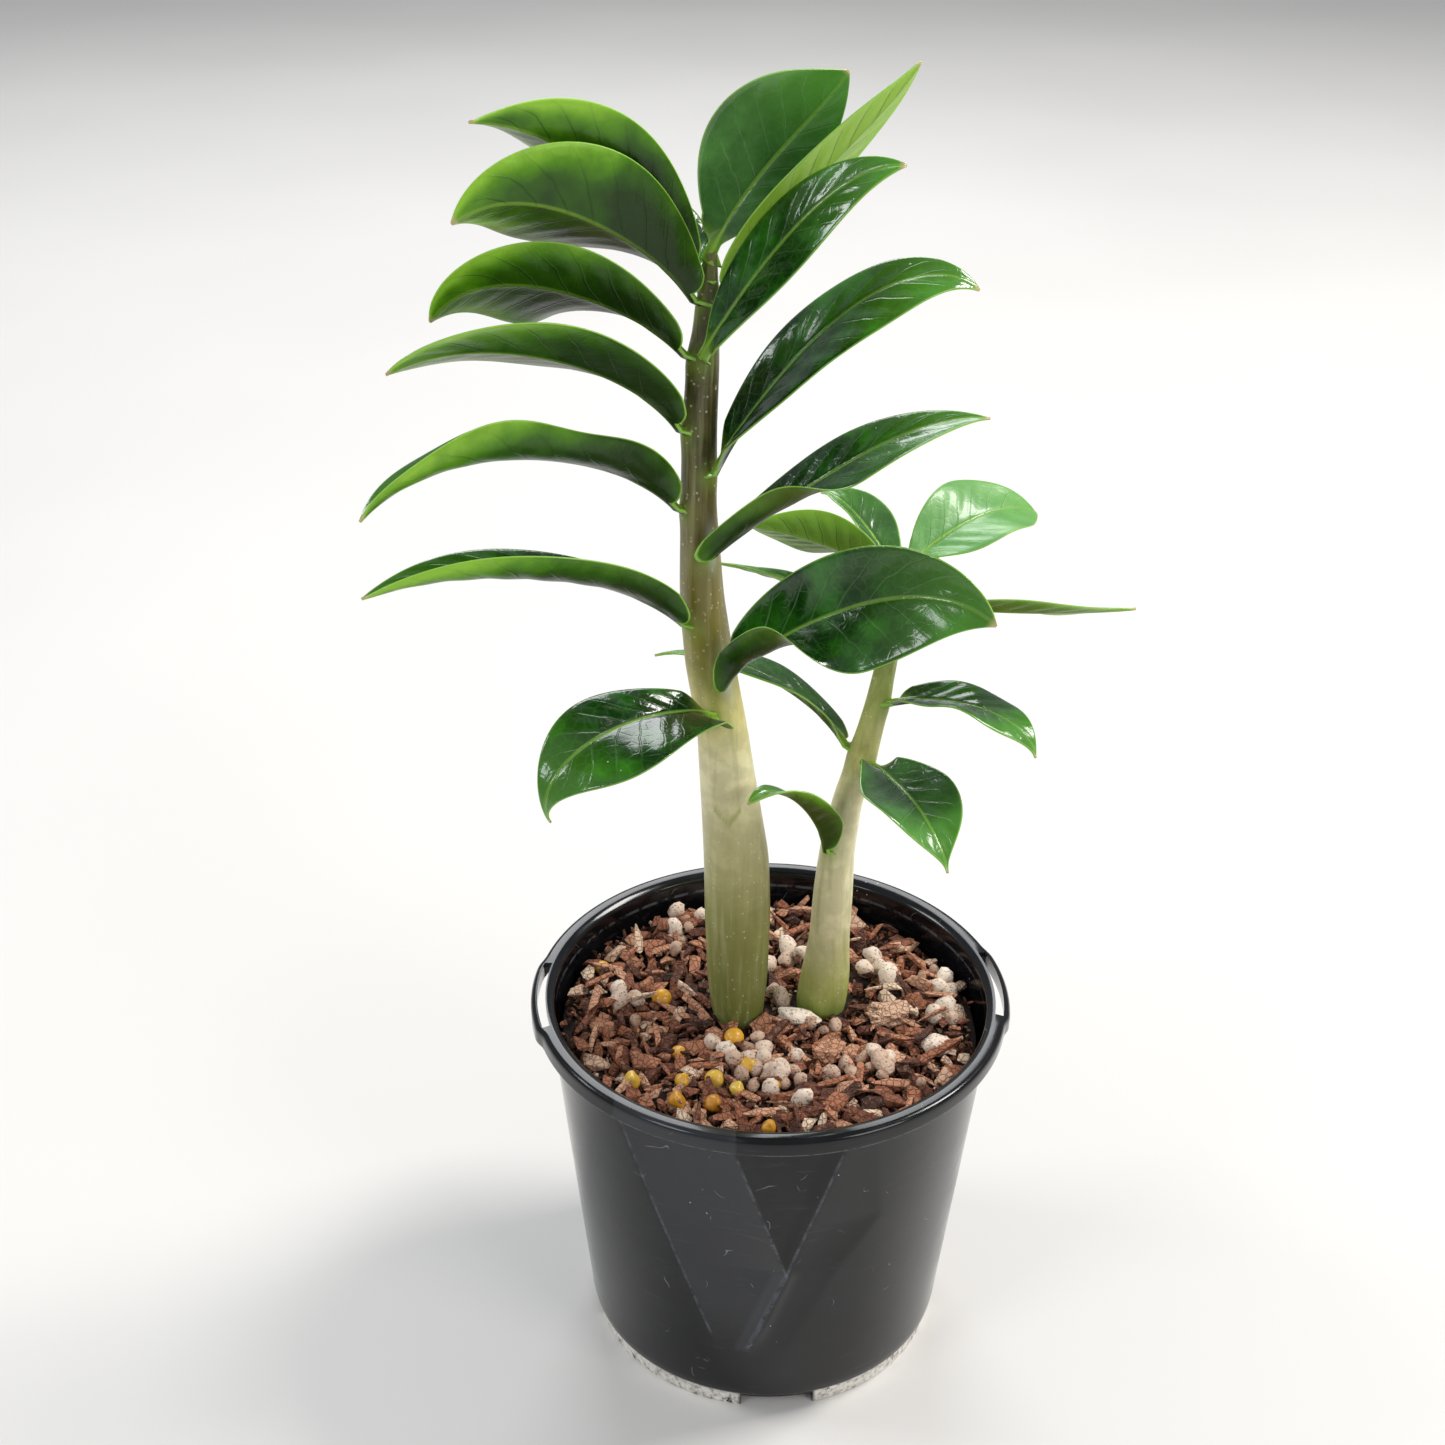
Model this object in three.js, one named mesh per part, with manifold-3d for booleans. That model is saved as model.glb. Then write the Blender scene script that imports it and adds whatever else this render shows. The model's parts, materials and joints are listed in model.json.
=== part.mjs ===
// A potted zz plant: two thick stalks with glossy leaflets, standing in a potting mix of bark,
// pumice and fertiliser beads, in a thin plastic nursery pot. Millimetres, +Z up, and the origin
// is the centre of the flat pad under the pot.
import * as THREE from 'three';
import { mergeVertices } from 'three/addons/utils/BufferGeometryUtils.js';
import Module from 'manifold-3d';

// Pot
const POT_HEIGHT = 100;
const RIM_RADIUS = 60;
const MOUTH_RADIUS = 56.2;
const FOOT_RADIUS = 45.4;
const WALL = 1.2;
const LIP_DROP = 4.6;
const FLOOR_TOP = 5;
const NOTCH_HALF_ANGLE = 12;
const NOTCH_COUNT = 4;
const FIRST_NOTCH = -86;
const LOOP_HALF_ANGLE = 15;
const LOOP_ANGLES = [3.5, 183.5];
const SLOT_INNER = 57;
const SLOT_OUTER = 59.4;
const STRAP_RADIUS = 61;
const DRAIN_COUNT = 6;
const DRAIN_RADIUS = 3.5;
const DRAIN_RING = 33;
const AROUND = 48;

// Potting mix
const MIX_TOP = 88;
const MIX_BOTTOM = 5.4;
const GAP = 0.3;

// Plant
const LEAF_STEPS = 10;
const LEAF_STRIPS = 4;
const LEAF_PETIOLE = 0.04;
const BLADE_MIDDLE = 0.9;
const BLADE_EDGE = 0.5;
const PETIOLE_HALF_WIDTH = 1.1;
const PETIOLE_THICKNESS = 1.9;
const STALK_SIDES = 14;

const wasm = await Module();
wasm.setup();

const degrees = THREE.MathUtils.degToRad;

const PLASTIC = { color: '#17191c', roughness: 0.28, metalness: 0 };
const MIX = { color: '#4a2f22', roughness: 0.95, metalness: 0 };
const STALK = { color: '#8c8f5a', roughness: 0.5, metalness: 0 };
const LEAF = { color: '#1f6b2c', roughness: 0.22, metalness: 0 };
const BARK = { color: '#7a4630', roughness: 0.9, metalness: 0 };
const PUMICE = { color: '#b9a695', roughness: 0.95, metalness: 0 };
const BEAD = { color: '#b8912b', roughness: 0.45, metalness: 0 };

function piece(name, geometry, look) {
  const mesh = new THREE.Mesh(geometry, new THREE.MeshStandardMaterial(look));
  mesh.name = name;
  return mesh;
}

// ---- solids and booleans ----

function toSolid(geometry) {
  const bare = geometry.clone();
  bare.deleteAttribute('normal');
  bare.deleteAttribute('uv');
  const merged = mergeVertices(bare, 1e-4);
  return new wasm.Manifold(new wasm.Mesh({
    numProp: 3,
    vertProperties: new Float32Array(merged.attributes.position.array),
    triVerts: new Uint32Array(merged.index.array),
  }));
}

function toGeometry(solid) {
  const { vertProperties, triVerts } = solid.getMesh();
  const geometry = new THREE.BufferGeometry();
  geometry.setAttribute('position', new THREE.BufferAttribute(vertProperties, 3));
  geometry.setIndex(new THREE.BufferAttribute(triVerts, 1));
  geometry.computeVertexNormals();
  return geometry;
}

// A solid of revolution about +Z from [radius, height] pairs.
function turned(profile, segments = AROUND) {
  const points = profile.map(([radius, height]) => new THREE.Vector2(radius, height));
  return new THREE.LatheGeometry(points, segments).rotateX(Math.PI / 2);
}

// A closed skin over rings that all have the same number of points, with a fan over each end.
function loft(rings) {
  const count = rings[0].length;
  const positions = rings.flat().flatMap((point) => point.toArray());
  const faces = [];
  for (let row = 0; row + 1 < rings.length; row += 1) {
    for (let column = 0; column < count; column += 1) {
      const next = (column + 1) % count;
      const [a, b] = [row * count + column, row * count + next];
      faces.push(a, b, b + count, a, b + count, a + count);
    }
  }
  const last = (rings.length - 1) * count;
  for (let step = 0; step + 2 < count; step += 1) {
    const [near, far] = zigzag(step, count);
    faces.push(near[0], near[2], near[1]);
    faces.push(last + far[0], last + far[1], last + far[2]);
  }
  const geometry = new THREE.BufferGeometry();
  geometry.setAttribute('position', new THREE.Float32BufferAttribute(positions, 3));
  geometry.setIndex(faces);
  geometry.computeVertexNormals();
  return geometry;
}

// The triangles of a flat strip that joins a ring's first half to its second half.
function zigzag(step, count) {
  const low = Math.floor((step + 1) / 2);
  const high = count - 1 - Math.floor(step / 2);
  const corners = step % 2 === 0 ? [low, low + 1, high] : [low, high - 1, high];
  return [corners, corners];
}

// An arc-shaped block between two radii, centred on an azimuth.
function arcBlock(inner, outer, halfAngle, azimuth, bottom, top) {
  const start = degrees(azimuth - halfAngle);
  const end = degrees(azimuth + halfAngle);
  const shape = new THREE.Shape();
  shape.absarc(0, 0, outer, start, end, false);
  shape.absarc(0, 0, inner, end, start, true);
  shape.closePath();
  const options = { depth: top - bottom, bevelEnabled: false, curveSegments: 8 };
  const block = new THREE.ExtrudeGeometry(shape, options);
  return toSolid(block.translate(0, 0, bottom));
}

// ---- pot ----

function potBody() {
  const foot = FOOT_RADIUS;
  const mouth = MOUTH_RADIUS;
  const underLip = POT_HEIGHT - LIP_DROP;
  return toSolid(turned([
    [0, 0],
    [7, 0],
    [7.6, 3.6],
    [foot - 2.2, 3.6],
    [foot - 1.8, 0],
    [foot - 0.2, 0],
    [foot, 4.2],
    [foot + 1.2, 5.4],
    [foot + 1.6, 7.5],
    [mouth - 0.2, underLip - 1],
    [mouth + 0.4, POT_HEIGHT - 1.4],
    [RIM_RADIUS - 1.7, POT_HEIGHT - 1.4],
    [RIM_RADIUS - 1.5, underLip],
    [RIM_RADIUS - 0.2, underLip],
    [RIM_RADIUS, underLip + 0.6],
    [RIM_RADIUS, POT_HEIGHT - 1.3],
    [RIM_RADIUS - 0.6, POT_HEIGHT - 0.3],
    [RIM_RADIUS - 1.6, POT_HEIGHT],
    [mouth + 0.6, POT_HEIGHT],
    [mouth - WALL, POT_HEIGHT - 1],
    [mouth - WALL - 0.2, underLip],
    [foot + 0.5, 7.8],
    [foot - 0.8, FLOOR_TOP],
    [0, FLOOR_TOP],
  ]));
}

function pot() {
  const underLip = POT_HEIGHT - LIP_DROP;
  let body = potBody();
  for (let notch = 0; notch < NOTCH_COUNT; notch += 1) {
    const azimuth = FIRST_NOTCH + (360 / NOTCH_COUNT) * notch;
    body = body.subtract(arcBlock(FOOT_RADIUS - 3, FOOT_RADIUS + 2, NOTCH_HALF_ANGLE, azimuth, -1, 3.6));
  }
  for (const azimuth of LOOP_ANGLES) {
    const strapTop = POT_HEIGHT - 0.5;
    const strap = arcBlock(RIM_RADIUS - 1, STRAP_RADIUS, LOOP_HALF_ANGLE, azimuth, underLip + 0.2, strapTop);
    const slot = arcBlock(SLOT_INNER, SLOT_OUTER, LOOP_HALF_ANGLE - 1.5, azimuth, underLip, POT_HEIGHT + 1);
    body = body.add(strap).subtract(slot);
  }
  for (let hole = 0; hole < DRAIN_COUNT; hole += 1) {
    const turn = degrees((360 / DRAIN_COUNT) * hole);
    const drill = new THREE.CylinderGeometry(DRAIN_RADIUS, DRAIN_RADIUS, 12, 10).rotateX(Math.PI / 2);
    drill.translate(DRAIN_RING * Math.cos(turn), DRAIN_RING * Math.sin(turn), FLOOR_TOP);
    body = body.subtract(toSolid(drill));
  }
  return piece('pot', toGeometry(body), PLASTIC);
}

// ---- stalks ----

// Each stop is [x, y, height, radius] along a stalk.
const STALKS = {
  main: [
    [-7.5, 6, 80, 5], [-8, 6, 90, 6.8], [-8.3, 5.5, 100, 7.7], [-8.8, 5, 120, 8.3], [-9.3, 5, 137, 8.1],
    [-10.7, 5, 152, 7.2], [-13, 5, 174, 6], [-16.2, 5, 191, 5.9], [-18.1, 5, 208, 5.1], [-19, 5, 231, 4.1],
    [-19, 5, 250, 3.9], [-18.2, 5, 265, 3.6], [-17, 5, 279, 2.2], [-16.5, 5, 288, 1.5],
  ],
  side: [
    [13.2, 10.5, 80, 4.5], [13.8, 10.5, 88, 6.6], [14.6, 10.5, 97, 6.4], [15.1, 10.8, 108, 5.2],
    [15.5, 11, 122, 5], [16.1, 11.5, 134, 4.4], [18.4, 12.5, 149, 3.8], [21.6, 14, 160, 3.5],
    [25, 16, 175, 2.9], [27, 18, 186, 2.6], [28.6, 19.5, 200, 2.2], [29.6, 21, 212, 1.6],
  ],
};

// The stalk's centre and radius at a height, straight between its stops.
function stalkAt(stops, height) {
  const upper = Math.max(1, stops.findIndex((stop) => stop[2] >= height));
  const [low, high] = [stops[upper - 1], stops[upper]];
  const share = (height - low[2]) / (high[2] - low[2]);
  const [x, y, , radius] = low.map((value, index) => THREE.MathUtils.lerp(value, high[index], share));
  return { x, y, radius };
}

function ring(stops, height, swell) {
  const { x, y, radius } = stalkAt(stops, height);
  const points = [];
  for (let side = 0; side < STALK_SIDES; side += 1) {
    const turn = (side / STALK_SIDES) * 2 * Math.PI;
    const reach = radius + swell;
    points.push(new THREE.Vector3(x + reach * Math.cos(turn), y + reach * Math.sin(turn), height));
  }
  return points;
}

function stalk(name, stops) {
  const rings = stops.map((stop) => ring(stops, stop[2], 0));
  return piece(name, loft(rings), STALK);
}

// The hollow that a stalk stands in: its lowest stretch, grown by the gap.
function socket(stops) {
  const [foot, collar] = [stops[0][2], MIX_TOP + 2];
  const rings = [foot, MIX_TOP, collar].map((height) => ring(stops, height, GAP));
  rings[0].forEach((point) => point.setZ(foot - GAP));
  return toSolid(loft(rings));
}

// ---- potting mix ----

function pottingMix() {
  const wallInside = MOUTH_RADIUS - WALL - 0.9;
  const plug = toSolid(turned([
    [0, MIX_BOTTOM],
    [FOOT_RADIUS - 1.6, MIX_BOTTOM],
    [FOOT_RADIUS - 0.2, 8.4],
    [wallInside - 0.6, MIX_TOP - 3],
    [wallInside - 2.5, MIX_TOP],
    [0, MIX_TOP],
  ]));
  const hollowed = plug.subtract(socket(STALKS.main)).subtract(socket(STALKS.side));
  return piece('potting_mix', toGeometry(hollowed), MIX);
}

// ---- leaflets ----

// How wide a blade is, from 0 at its foot to 1 at its widest and back to 0 at its tip.
function outline(leaf, along) {
  const bulge = Math.max(Math.sin(Math.PI * Math.min(along, 1)), 0);
  return bulge ** THREE.MathUtils.lerp(leaf.taper, leaf.tip, along);
}

// How far across and up a half of the blade has come, from 0 at the midrib to 1 at the margin,
// where it starts at a slope and bends evenly.
function arc(slope, bend, out) {
  const turn = Math.max(bend, 0.001);
  const end = slope + turn * out;
  const across = (Math.sin(end) - Math.sin(slope)) / turn;
  const up = (Math.cos(slope) - Math.cos(end)) / turn;
  return { across, up, end };
}

// A leaflet's midrib and its frame at a share of its length, headed along +X.
function bearing(leaf, share) {
  const rise = degrees(leaf.rise - leaf.droop * share ** 0.6 - leaf.hook * share ** 5);
  const turn = degrees(leaf.sweep * share);
  const tilt = degrees(leaf.roll + leaf.twist * (1 - Math.exp(-share / 0.25)));
  const flat = new THREE.Vector3(-Math.sin(turn), Math.cos(turn), 0);
  const ahead = new THREE.Vector3(Math.cos(turn), Math.sin(turn), 0).multiplyScalar(Math.cos(rise));
  ahead.z = Math.sin(rise);
  const lift = new THREE.Vector3().crossVectors(ahead, flat);
  const left = flat.multiplyScalar(Math.cos(tilt)).addScaledVector(lift, Math.sin(tilt));
  const up = new THREE.Vector3().crossVectors(ahead, left);
  return { ahead, left, up };
}

// The cross-section of a leaflet: a thin strip folded and cupped upwards on both sides of the
// midrib. The upper face comes first, from left to right, then the underside back again.
function bladeRing(leaf, share, middle) {
  const { ahead, left, up } = bearing(leaf, share);
  const along = Math.max(0, (share - LEAF_PETIOLE) / (1 - LEAF_PETIOLE));
  const width = outline(leaf, along);
  const petiole = PETIOLE_HALF_WIDTH * (1 - share) + 0.3;
  const open = Math.min(1, 10 * along);
  const slope = degrees(6 + leaf.fold * Math.exp(-along / 0.15)) * open;
  const curl = leaf.curl * Math.exp(-((along / 0.42) ** 6));
  const [over, under] = [[], []];
  for (let strip = -LEAF_STRIPS; strip <= LEAF_STRIPS; strip += 1) {
    const onLeft = strip < 0;
    const out = Math.abs(strip) / LEAF_STRIPS;
    const side = -Math.sign(strip);
    const reach = Math.hypot((onLeft ? leaf.left : leaf.right) * width, petiole);
    const bend = degrees(onLeft ? leaf.cupLeft : leaf.cupRight + curl) * open;
    const bow = arc(slope, bend, out);
    const lobe = (onLeft ? leaf.lobeLeft : leaf.lobeRight) * Math.exp(-((along / 0.16) ** 2));
    const wave = leaf.wave * out ** 2 * width * Math.sin(4 * Math.PI * along + (onLeft ? 0 : 1.3));
    const point = middle.clone().addScaledVector(left, side * reach * bow.across);
    point.addScaledVector(up, reach * bow.up + wave);
    point.addScaledVector(ahead, -lobe * Math.min(1, 3 * width) * out ** 1.5);
    const lean = bow.end * (1 - Math.exp((-out * reach) / 0.7));
    const normal = up.clone().multiplyScalar(Math.cos(lean)).addScaledVector(left, -side * Math.sin(lean));
    const blade = THREE.MathUtils.lerp(BLADE_MIDDLE, BLADE_EDGE, out);
    const half = Math.max(blade, PETIOLE_THICKNESS * (1 - 4 * along)) / 2;
    over.push(point.clone().addScaledVector(normal, half));
    under.unshift(point.clone().addScaledVector(normal, -half));
  }
  return [...over, ...under];
}

function leafletGeometry(leaf) {
  const fine = 8;
  const rings = [];
  const middle = new THREE.Vector3();
  for (let step = 0; step <= LEAF_STEPS; step += 1) {
    rings.push(bladeRing(leaf, step / LEAF_STEPS, middle));
    for (let part = 0.5; part < fine; part += 1) {
      const share = (step + part / fine) / LEAF_STEPS;
      middle.addScaledVector(bearing(leaf, share).ahead, leaf.length / LEAF_STEPS / fine);
    }
  }
  return loft(rings);
}

// Each leaflet grows from its stalk at a height, on the side of the stalk that foot gives, and
// heads off at an azimuth. rise is how steeply it leaves, droop and hook how much it bends down
// along the way and at the tip, roll and twist how far its left half is turned up. left and
// right are the widths of its halves, which narrow towards the foot by taper and towards the
// tip by tip. They are folded up by fold at the foot, and cupped on both sides; curl rolls up
// the foot of the right half, and the lobes reach back past it.
const PLAIN = {
  hook: 20, sweep: 0, roll: 0, twist: 0, taper: 0.75, tip: 0.85, fold: 45, cupLeft: 12, cupRight: 12,
  curl: 0, lobeLeft: 0, lobeRight: 0, wave: 0,
};
const LEAFLETS = {
  main: [
    { name: 'left_1', height: 180, foot: 259, heading: 221, length: 60, rise: 38, droop: 61, hook: 102,
      sweep: -4, roll: -23, twist: 5, left: 16, right: 10.5, taper: 0.45, fold: 40, cupLeft: 5, cupRight: 0,
      lobeLeft: 8, tip: 1.8 },
    { name: 'left_2', height: 203, foot: 225, heading: 203, length: 80, rise: 50, droop: 53, hook: 15,
      sweep: 0, roll: -10, twist: -5, left: 15, right: 7, taper: 0.6, fold: 30, cupLeft: 95, cupRight: 15,
      lobeLeft: 6 },
    { name: 'left_3', height: 231, foot: 207, heading: 212, length: 82, rise: 54, droop: 63, hook: 40,
      sweep: -7, roll: -6, twist: 2, left: 14.5, right: 10, cupLeft: 100, cupRight: 10, lobeLeft: 6,
      wave: 1.5 },
    { name: 'left_4', height: 250, foot: 218, heading: 208, length: 73, rise: 60, droop: 61, hook: 25,
      sweep: -9, roll: -4, twist: 47, left: 14.5, right: 13.5, taper: 0.65, cupLeft: 0, lobeLeft: 4 },
    { name: 'left_5', height: 267, foot: 210, heading: 202, length: 63, rise: 52, droop: 47, hook: 66,
      sweep: -7, roll: -2, twist: 61, left: 11.5, right: 17.5, fold: 40, cupLeft: 20, cupRight: 10,
      curl: 25, lobeLeft: 3 },
    { name: 'left_6', height: 279, foot: 208, heading: 213, length: 65, rise: 58, droop: 43, hook: 50,
      sweep: -3, roll: -1, twist: 60, left: 15, right: 16, fold: 50, cupLeft: 45, cupRight: 20,
      lobeLeft: 5 },
    { name: 'left_7', height: 284, foot: 175, heading: 207, length: 68, rise: 67, droop: 45, hook: 17,
      sweep: 15, roll: 6, twist: 35, left: 12.5, right: 13.5, tip: 1.1, cupLeft: 45, cupRight: 45,
      lobeLeft: 3 },
    { name: 'right_1', height: 189, foot: 294, heading: 338, length: 76, rise: 56, droop: 38, hook: 55,
      sweep: -5, roll: 42, twist: 18, left: 13, right: 16, taper: 0.5, fold: 35, cupLeft: 35, cupRight: 0,
      curl: 170, lobeRight: 6 },
    { name: 'right_2', height: 220, foot: 287, heading: 3, length: 72, rise: 41, droop: 10, hook: 38,
      sweep: -3, roll: 15, twist: 8, left: 8.5, right: 14, fold: 50, cupLeft: 0, cupRight: 35, curl: 80,
      lobeRight: 12, tip: 1.1 },
    { name: 'right_3', height: 240, foot: 310, heading: 5, length: 78, rise: 67, droop: 29, hook: 80,
      sweep: -6, roll: -2, twist: 27, left: 9.5, right: 12.5, taper: 0.6, fold: 50, cupLeft: 5, cupRight: 0,
      lobeRight: 5 },
    { name: 'right_4', height: 267, foot: 268, heading: 344, length: 64, rise: 65, droop: 18, hook: 45,
      sweep: 2, roll: 72, twist: -33, left: 8.5, right: 10.5, taper: 0.9, fold: 40, cupLeft: 10, cupRight: 5,
      lobeRight: 6 },
    { name: 'right_5', height: 280, foot: 355, heading: 0, length: 63, rise: 64, droop: 27, hook: -20,
      sweep: 11, roll: -45, twist: 1, left: 9, right: 9, taper: 0.6, fold: 50, cupLeft: 0, cupRight: 0,
      lobeRight: 4 },
    { name: 'back', height: 275, foot: 95, heading: 125, length: 30, rise: 62, droop: 10, roll: 20,
      left: 7, right: 7 },
    { name: 'top', height: 288, foot: null, heading: 15, length: 47, rise: 68, droop: 32, hook: -19,
      roll: 78, twist: 16, left: 19.5, right: 9, fold: 35, cupLeft: 20 },
  ],
  side: [
    { name: 'right_1', height: 160, foot: 300, heading: 296, length: 41, rise: 17, droop: 37, hook: 42,
      sweep: -3, roll: 3, twist: -9, left: 11, right: 14, taper: 0.6, tip: 1.7, fold: 50, cupLeft: 40,
      cupRight: 15, lobeRight: 4 },
    { name: 'right_2', height: 176, foot: 313, heading: 339, length: 42, rise: 25, droop: 32, hook: 67,
      sweep: -22, roll: 1, twist: -11, left: 9, right: 10, taper: 0.65, fold: 50, cupRight: 0,
      lobeLeft: 2, tip: 1.25, lobeRight: 4 },
    { name: 'right_3', height: 200, foot: -3, heading: 341, length: 53, rise: 1, droop: -3, hook: 0,
      sweep: 21, roll: -21, twist: -11, left: 7, right: 5.5, fold: 40, cupRight: 25 },
    { name: 'right_4', height: 207, foot: 59, heading: 40, length: 47, rise: 37, droop: 47, hook: 26,
      roll: 21, twist: 1, left: 11.5, right: 12, fold: 35, cupLeft: 15, cupRight: 20 },
    { name: 'left_1', height: 137, foot: 236, heading: 219, length: 39, rise: 84, droop: 51, hook: 69,
      roll: -19, twist: 21, left: 10, right: 5, cupLeft: 30, cupRight: 0, lobeLeft: 2 },
    { name: 'left_2', height: 163, foot: 172, heading: 168, length: 55, rise: 63, droop: 56, hook: 25,
      sweep: 9, roll: -7, twist: 22, left: 4.5, right: 7.5, taper: 0.6, cupLeft: 5, cupRight: 5, curl: 0,
      lobeRight: 5 },
    { name: 'left_3', height: 192, foot: 169, heading: 182, length: 44, rise: 52, droop: 40, hook: 2,
      sweep: 7, roll: -4, twist: -1, left: 7, right: 3, taper: 0.7, cupLeft: 50, cupRight: 5 },
    { name: 'left_4', height: 208, foot: 189, heading: 194, length: 38, rise: 35, droop: 16, hook: 7,
      sweep: 3, twist: 54, left: 9.5, right: 8.5, fold: 40, cupLeft: 25, cupRight: 15 },
    { name: 'left_5', height: 206, foot: 104, heading: 127, length: 31, rise: 45, droop: 26, hook: 39,
      sweep: 4, roll: -5, twist: 9, left: 5.5, right: 7.5, cupLeft: 45, cupRight: 40, lobeRight: 2 },
  ],
};

function leaflet(stalkName, values) {
  const leaf = { ...PLAIN, ...values };
  const stops = STALKS[stalkName];
  const { x, y, radius } = stalkAt(stops, leaf.height);
  const mesh = piece(`leaflet_${stalkName}_${leaf.name}`, leafletGeometry(leaf), LEAF);
  if (leaf.foot === null) {
    mesh.position.set(x, y, leaf.height + PETIOLE_THICKNESS / 2 + GAP);
  } else {
    const clear = radius + PETIOLE_THICKNESS / 2 + 2 * GAP;
    const turn = degrees(leaf.foot);
    mesh.position.set(x + clear * Math.cos(turn), y + clear * Math.sin(turn), leaf.height);
  }
  mesh.rotation.z = degrees(leaf.heading);
  return mesh;
}

// ---- larger bits lying on the mix ----

// A rough lump: a faceted ball, dented by waves that differ from seed to seed.
function lump(seed) {
  const triangles = new THREE.IcosahedronGeometry(0.5, 1);
  const ball = mergeVertices(triangles.deleteAttribute('normal').deleteAttribute('uv'));
  const spots = ball.attributes.position;
  for (let index = 0; index < spots.count; index += 1) {
    const spot = new THREE.Vector3().fromBufferAttribute(spots, index);
    const dent = Math.sin(5 * spot.x + seed) * Math.sin(6 * spot.y + 2 * seed) + Math.cos(7 * spot.z + seed);
    spot.multiplyScalar(0.9 + 0.08 * dent);
    spots.setXYZ(index, spot.x, spot.y, spot.z);
  }
  ball.computeVertexNormals();
  return ball;
}

// Each bit's place, its length, width and height, and how far it is turned.
const BITS = [
  ['bark_knot', BARK, 31, 2, [15, 12, 7], 20],
  ['bark_chunk', BARK, 15, -14, [12, 10, 6], 60],
  ['bark_flat', BARK, -34, -25, [11, 5.5, 3], 75],
  ['bark_sliver_left', BARK, -36, 1, [22, 4, 3], -20],
  ['bark_sliver_right', BARK, 43, 8, [15, 4, 3], -12],
  ['bark_sliver_front', BARK, 7, -33, [20, 3.5, 3], -5],
  ['bark_sliver_back', BARK, 30, 27, [11, 3, 2.5], -50],
  ['pumice_white', PUMICE, 7, 1, [12, 6, 4.5], -15],
  ['pumice_right', PUMICE, 42, -11, [8, 7, 6], 30],
  ['pumice_long', PUMICE, 28, -18, [10, 5.5, 5], 110],
  ['pumice_front', PUMICE, 2, -22, [8, 6, 6], 95],
  ['pumice_back', PUMICE, -25, 34, [7, 6, 5], 10],
  ['bead_stalk', BEAD, -9, -8, [5, 5, 5], 0],
  ['bead_front', BEAD, -14, -25, [5, 5, 5], 0],
  ['bead_left', BEAD, -28, 8, [5.2, 5.2, 5.2], 0],
  ['bead_edge', BEAD, -44.5, 20.5, [5, 5, 5], 0],
];

function bit([name, look, x, y, size, turn], seed) {
  const mesh = piece(name, lump(seed).scale(...size), look);
  mesh.geometry.computeBoundingBox();
  mesh.position.set(x, y, MIX_TOP + GAP - mesh.geometry.boundingBox.min.z);
  mesh.rotation.z = degrees(turn);
  return mesh;
}

// ---- the whole plant ----

const plant = new THREE.Group();
plant.add(pot(), pottingMix());
for (const [name, stops] of Object.entries(STALKS)) {
  plant.add(stalk(`stalk_${name}`, stops));
  LEAFLETS[name].forEach((values) => plant.add(leaflet(name, values)));
}
BITS.forEach((values, seed) => plant.add(bit(values, seed)));

export default plant;
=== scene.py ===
# A potted zz plant: glossy leaflets on two thick stalks, growing in bark, pumice and fertiliser
# beads, in a buckled black nursery pot. Shapes are worked in millimetres and stored in metres.
import json
import math
import random

import bmesh
import bpy
import numpy as np
from mathutils import Matrix, Vector, noise

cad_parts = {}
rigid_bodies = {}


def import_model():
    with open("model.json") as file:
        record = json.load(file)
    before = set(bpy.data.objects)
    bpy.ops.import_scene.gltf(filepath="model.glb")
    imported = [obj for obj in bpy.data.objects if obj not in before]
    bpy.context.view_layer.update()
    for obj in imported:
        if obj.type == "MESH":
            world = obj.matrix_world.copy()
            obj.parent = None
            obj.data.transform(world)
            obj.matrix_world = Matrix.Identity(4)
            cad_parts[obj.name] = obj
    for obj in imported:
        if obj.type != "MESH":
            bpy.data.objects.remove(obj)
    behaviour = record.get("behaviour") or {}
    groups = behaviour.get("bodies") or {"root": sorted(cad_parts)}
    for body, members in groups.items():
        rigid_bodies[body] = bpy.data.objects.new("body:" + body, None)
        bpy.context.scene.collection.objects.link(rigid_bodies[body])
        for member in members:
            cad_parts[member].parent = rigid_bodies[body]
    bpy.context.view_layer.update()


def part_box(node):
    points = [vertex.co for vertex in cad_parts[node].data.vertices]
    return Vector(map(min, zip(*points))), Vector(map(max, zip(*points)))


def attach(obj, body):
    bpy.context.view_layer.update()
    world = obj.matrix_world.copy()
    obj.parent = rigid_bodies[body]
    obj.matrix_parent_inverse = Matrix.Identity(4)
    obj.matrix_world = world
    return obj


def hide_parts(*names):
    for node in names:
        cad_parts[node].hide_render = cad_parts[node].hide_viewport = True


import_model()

MM = 0.001

# Pot
POT_HEIGHT = 100
RIM_RADIUS = 60
MOUTH_RADIUS = 56.2
FOOT_RADIUS = 45.4
WALL = 1.2
LIP_DROP = 4.6
LIP_HEIGHT = POT_HEIGHT - LIP_DROP
FLOOR_TOP = 5
NOTCH_ANGLES = [-86, 4, 94, 184]
NOTCH_HALF_ANGLE = 12
LOOP_ANGLES = [3.5, 183.5]
LOOP_HALF_ANGLE = 15
SLOT_INNER = 57.2
SLOT_OUTER = 59.3
DRAIN_RADIUS = 3.5
DRAIN_RING = 33
POT_SEGMENTS = 384

# Potting mix
MIX_TOP = 88
MIX_BOTTOM = 5.6
MIX_RADIUS = 53
MIX_SIDES = 120

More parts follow.
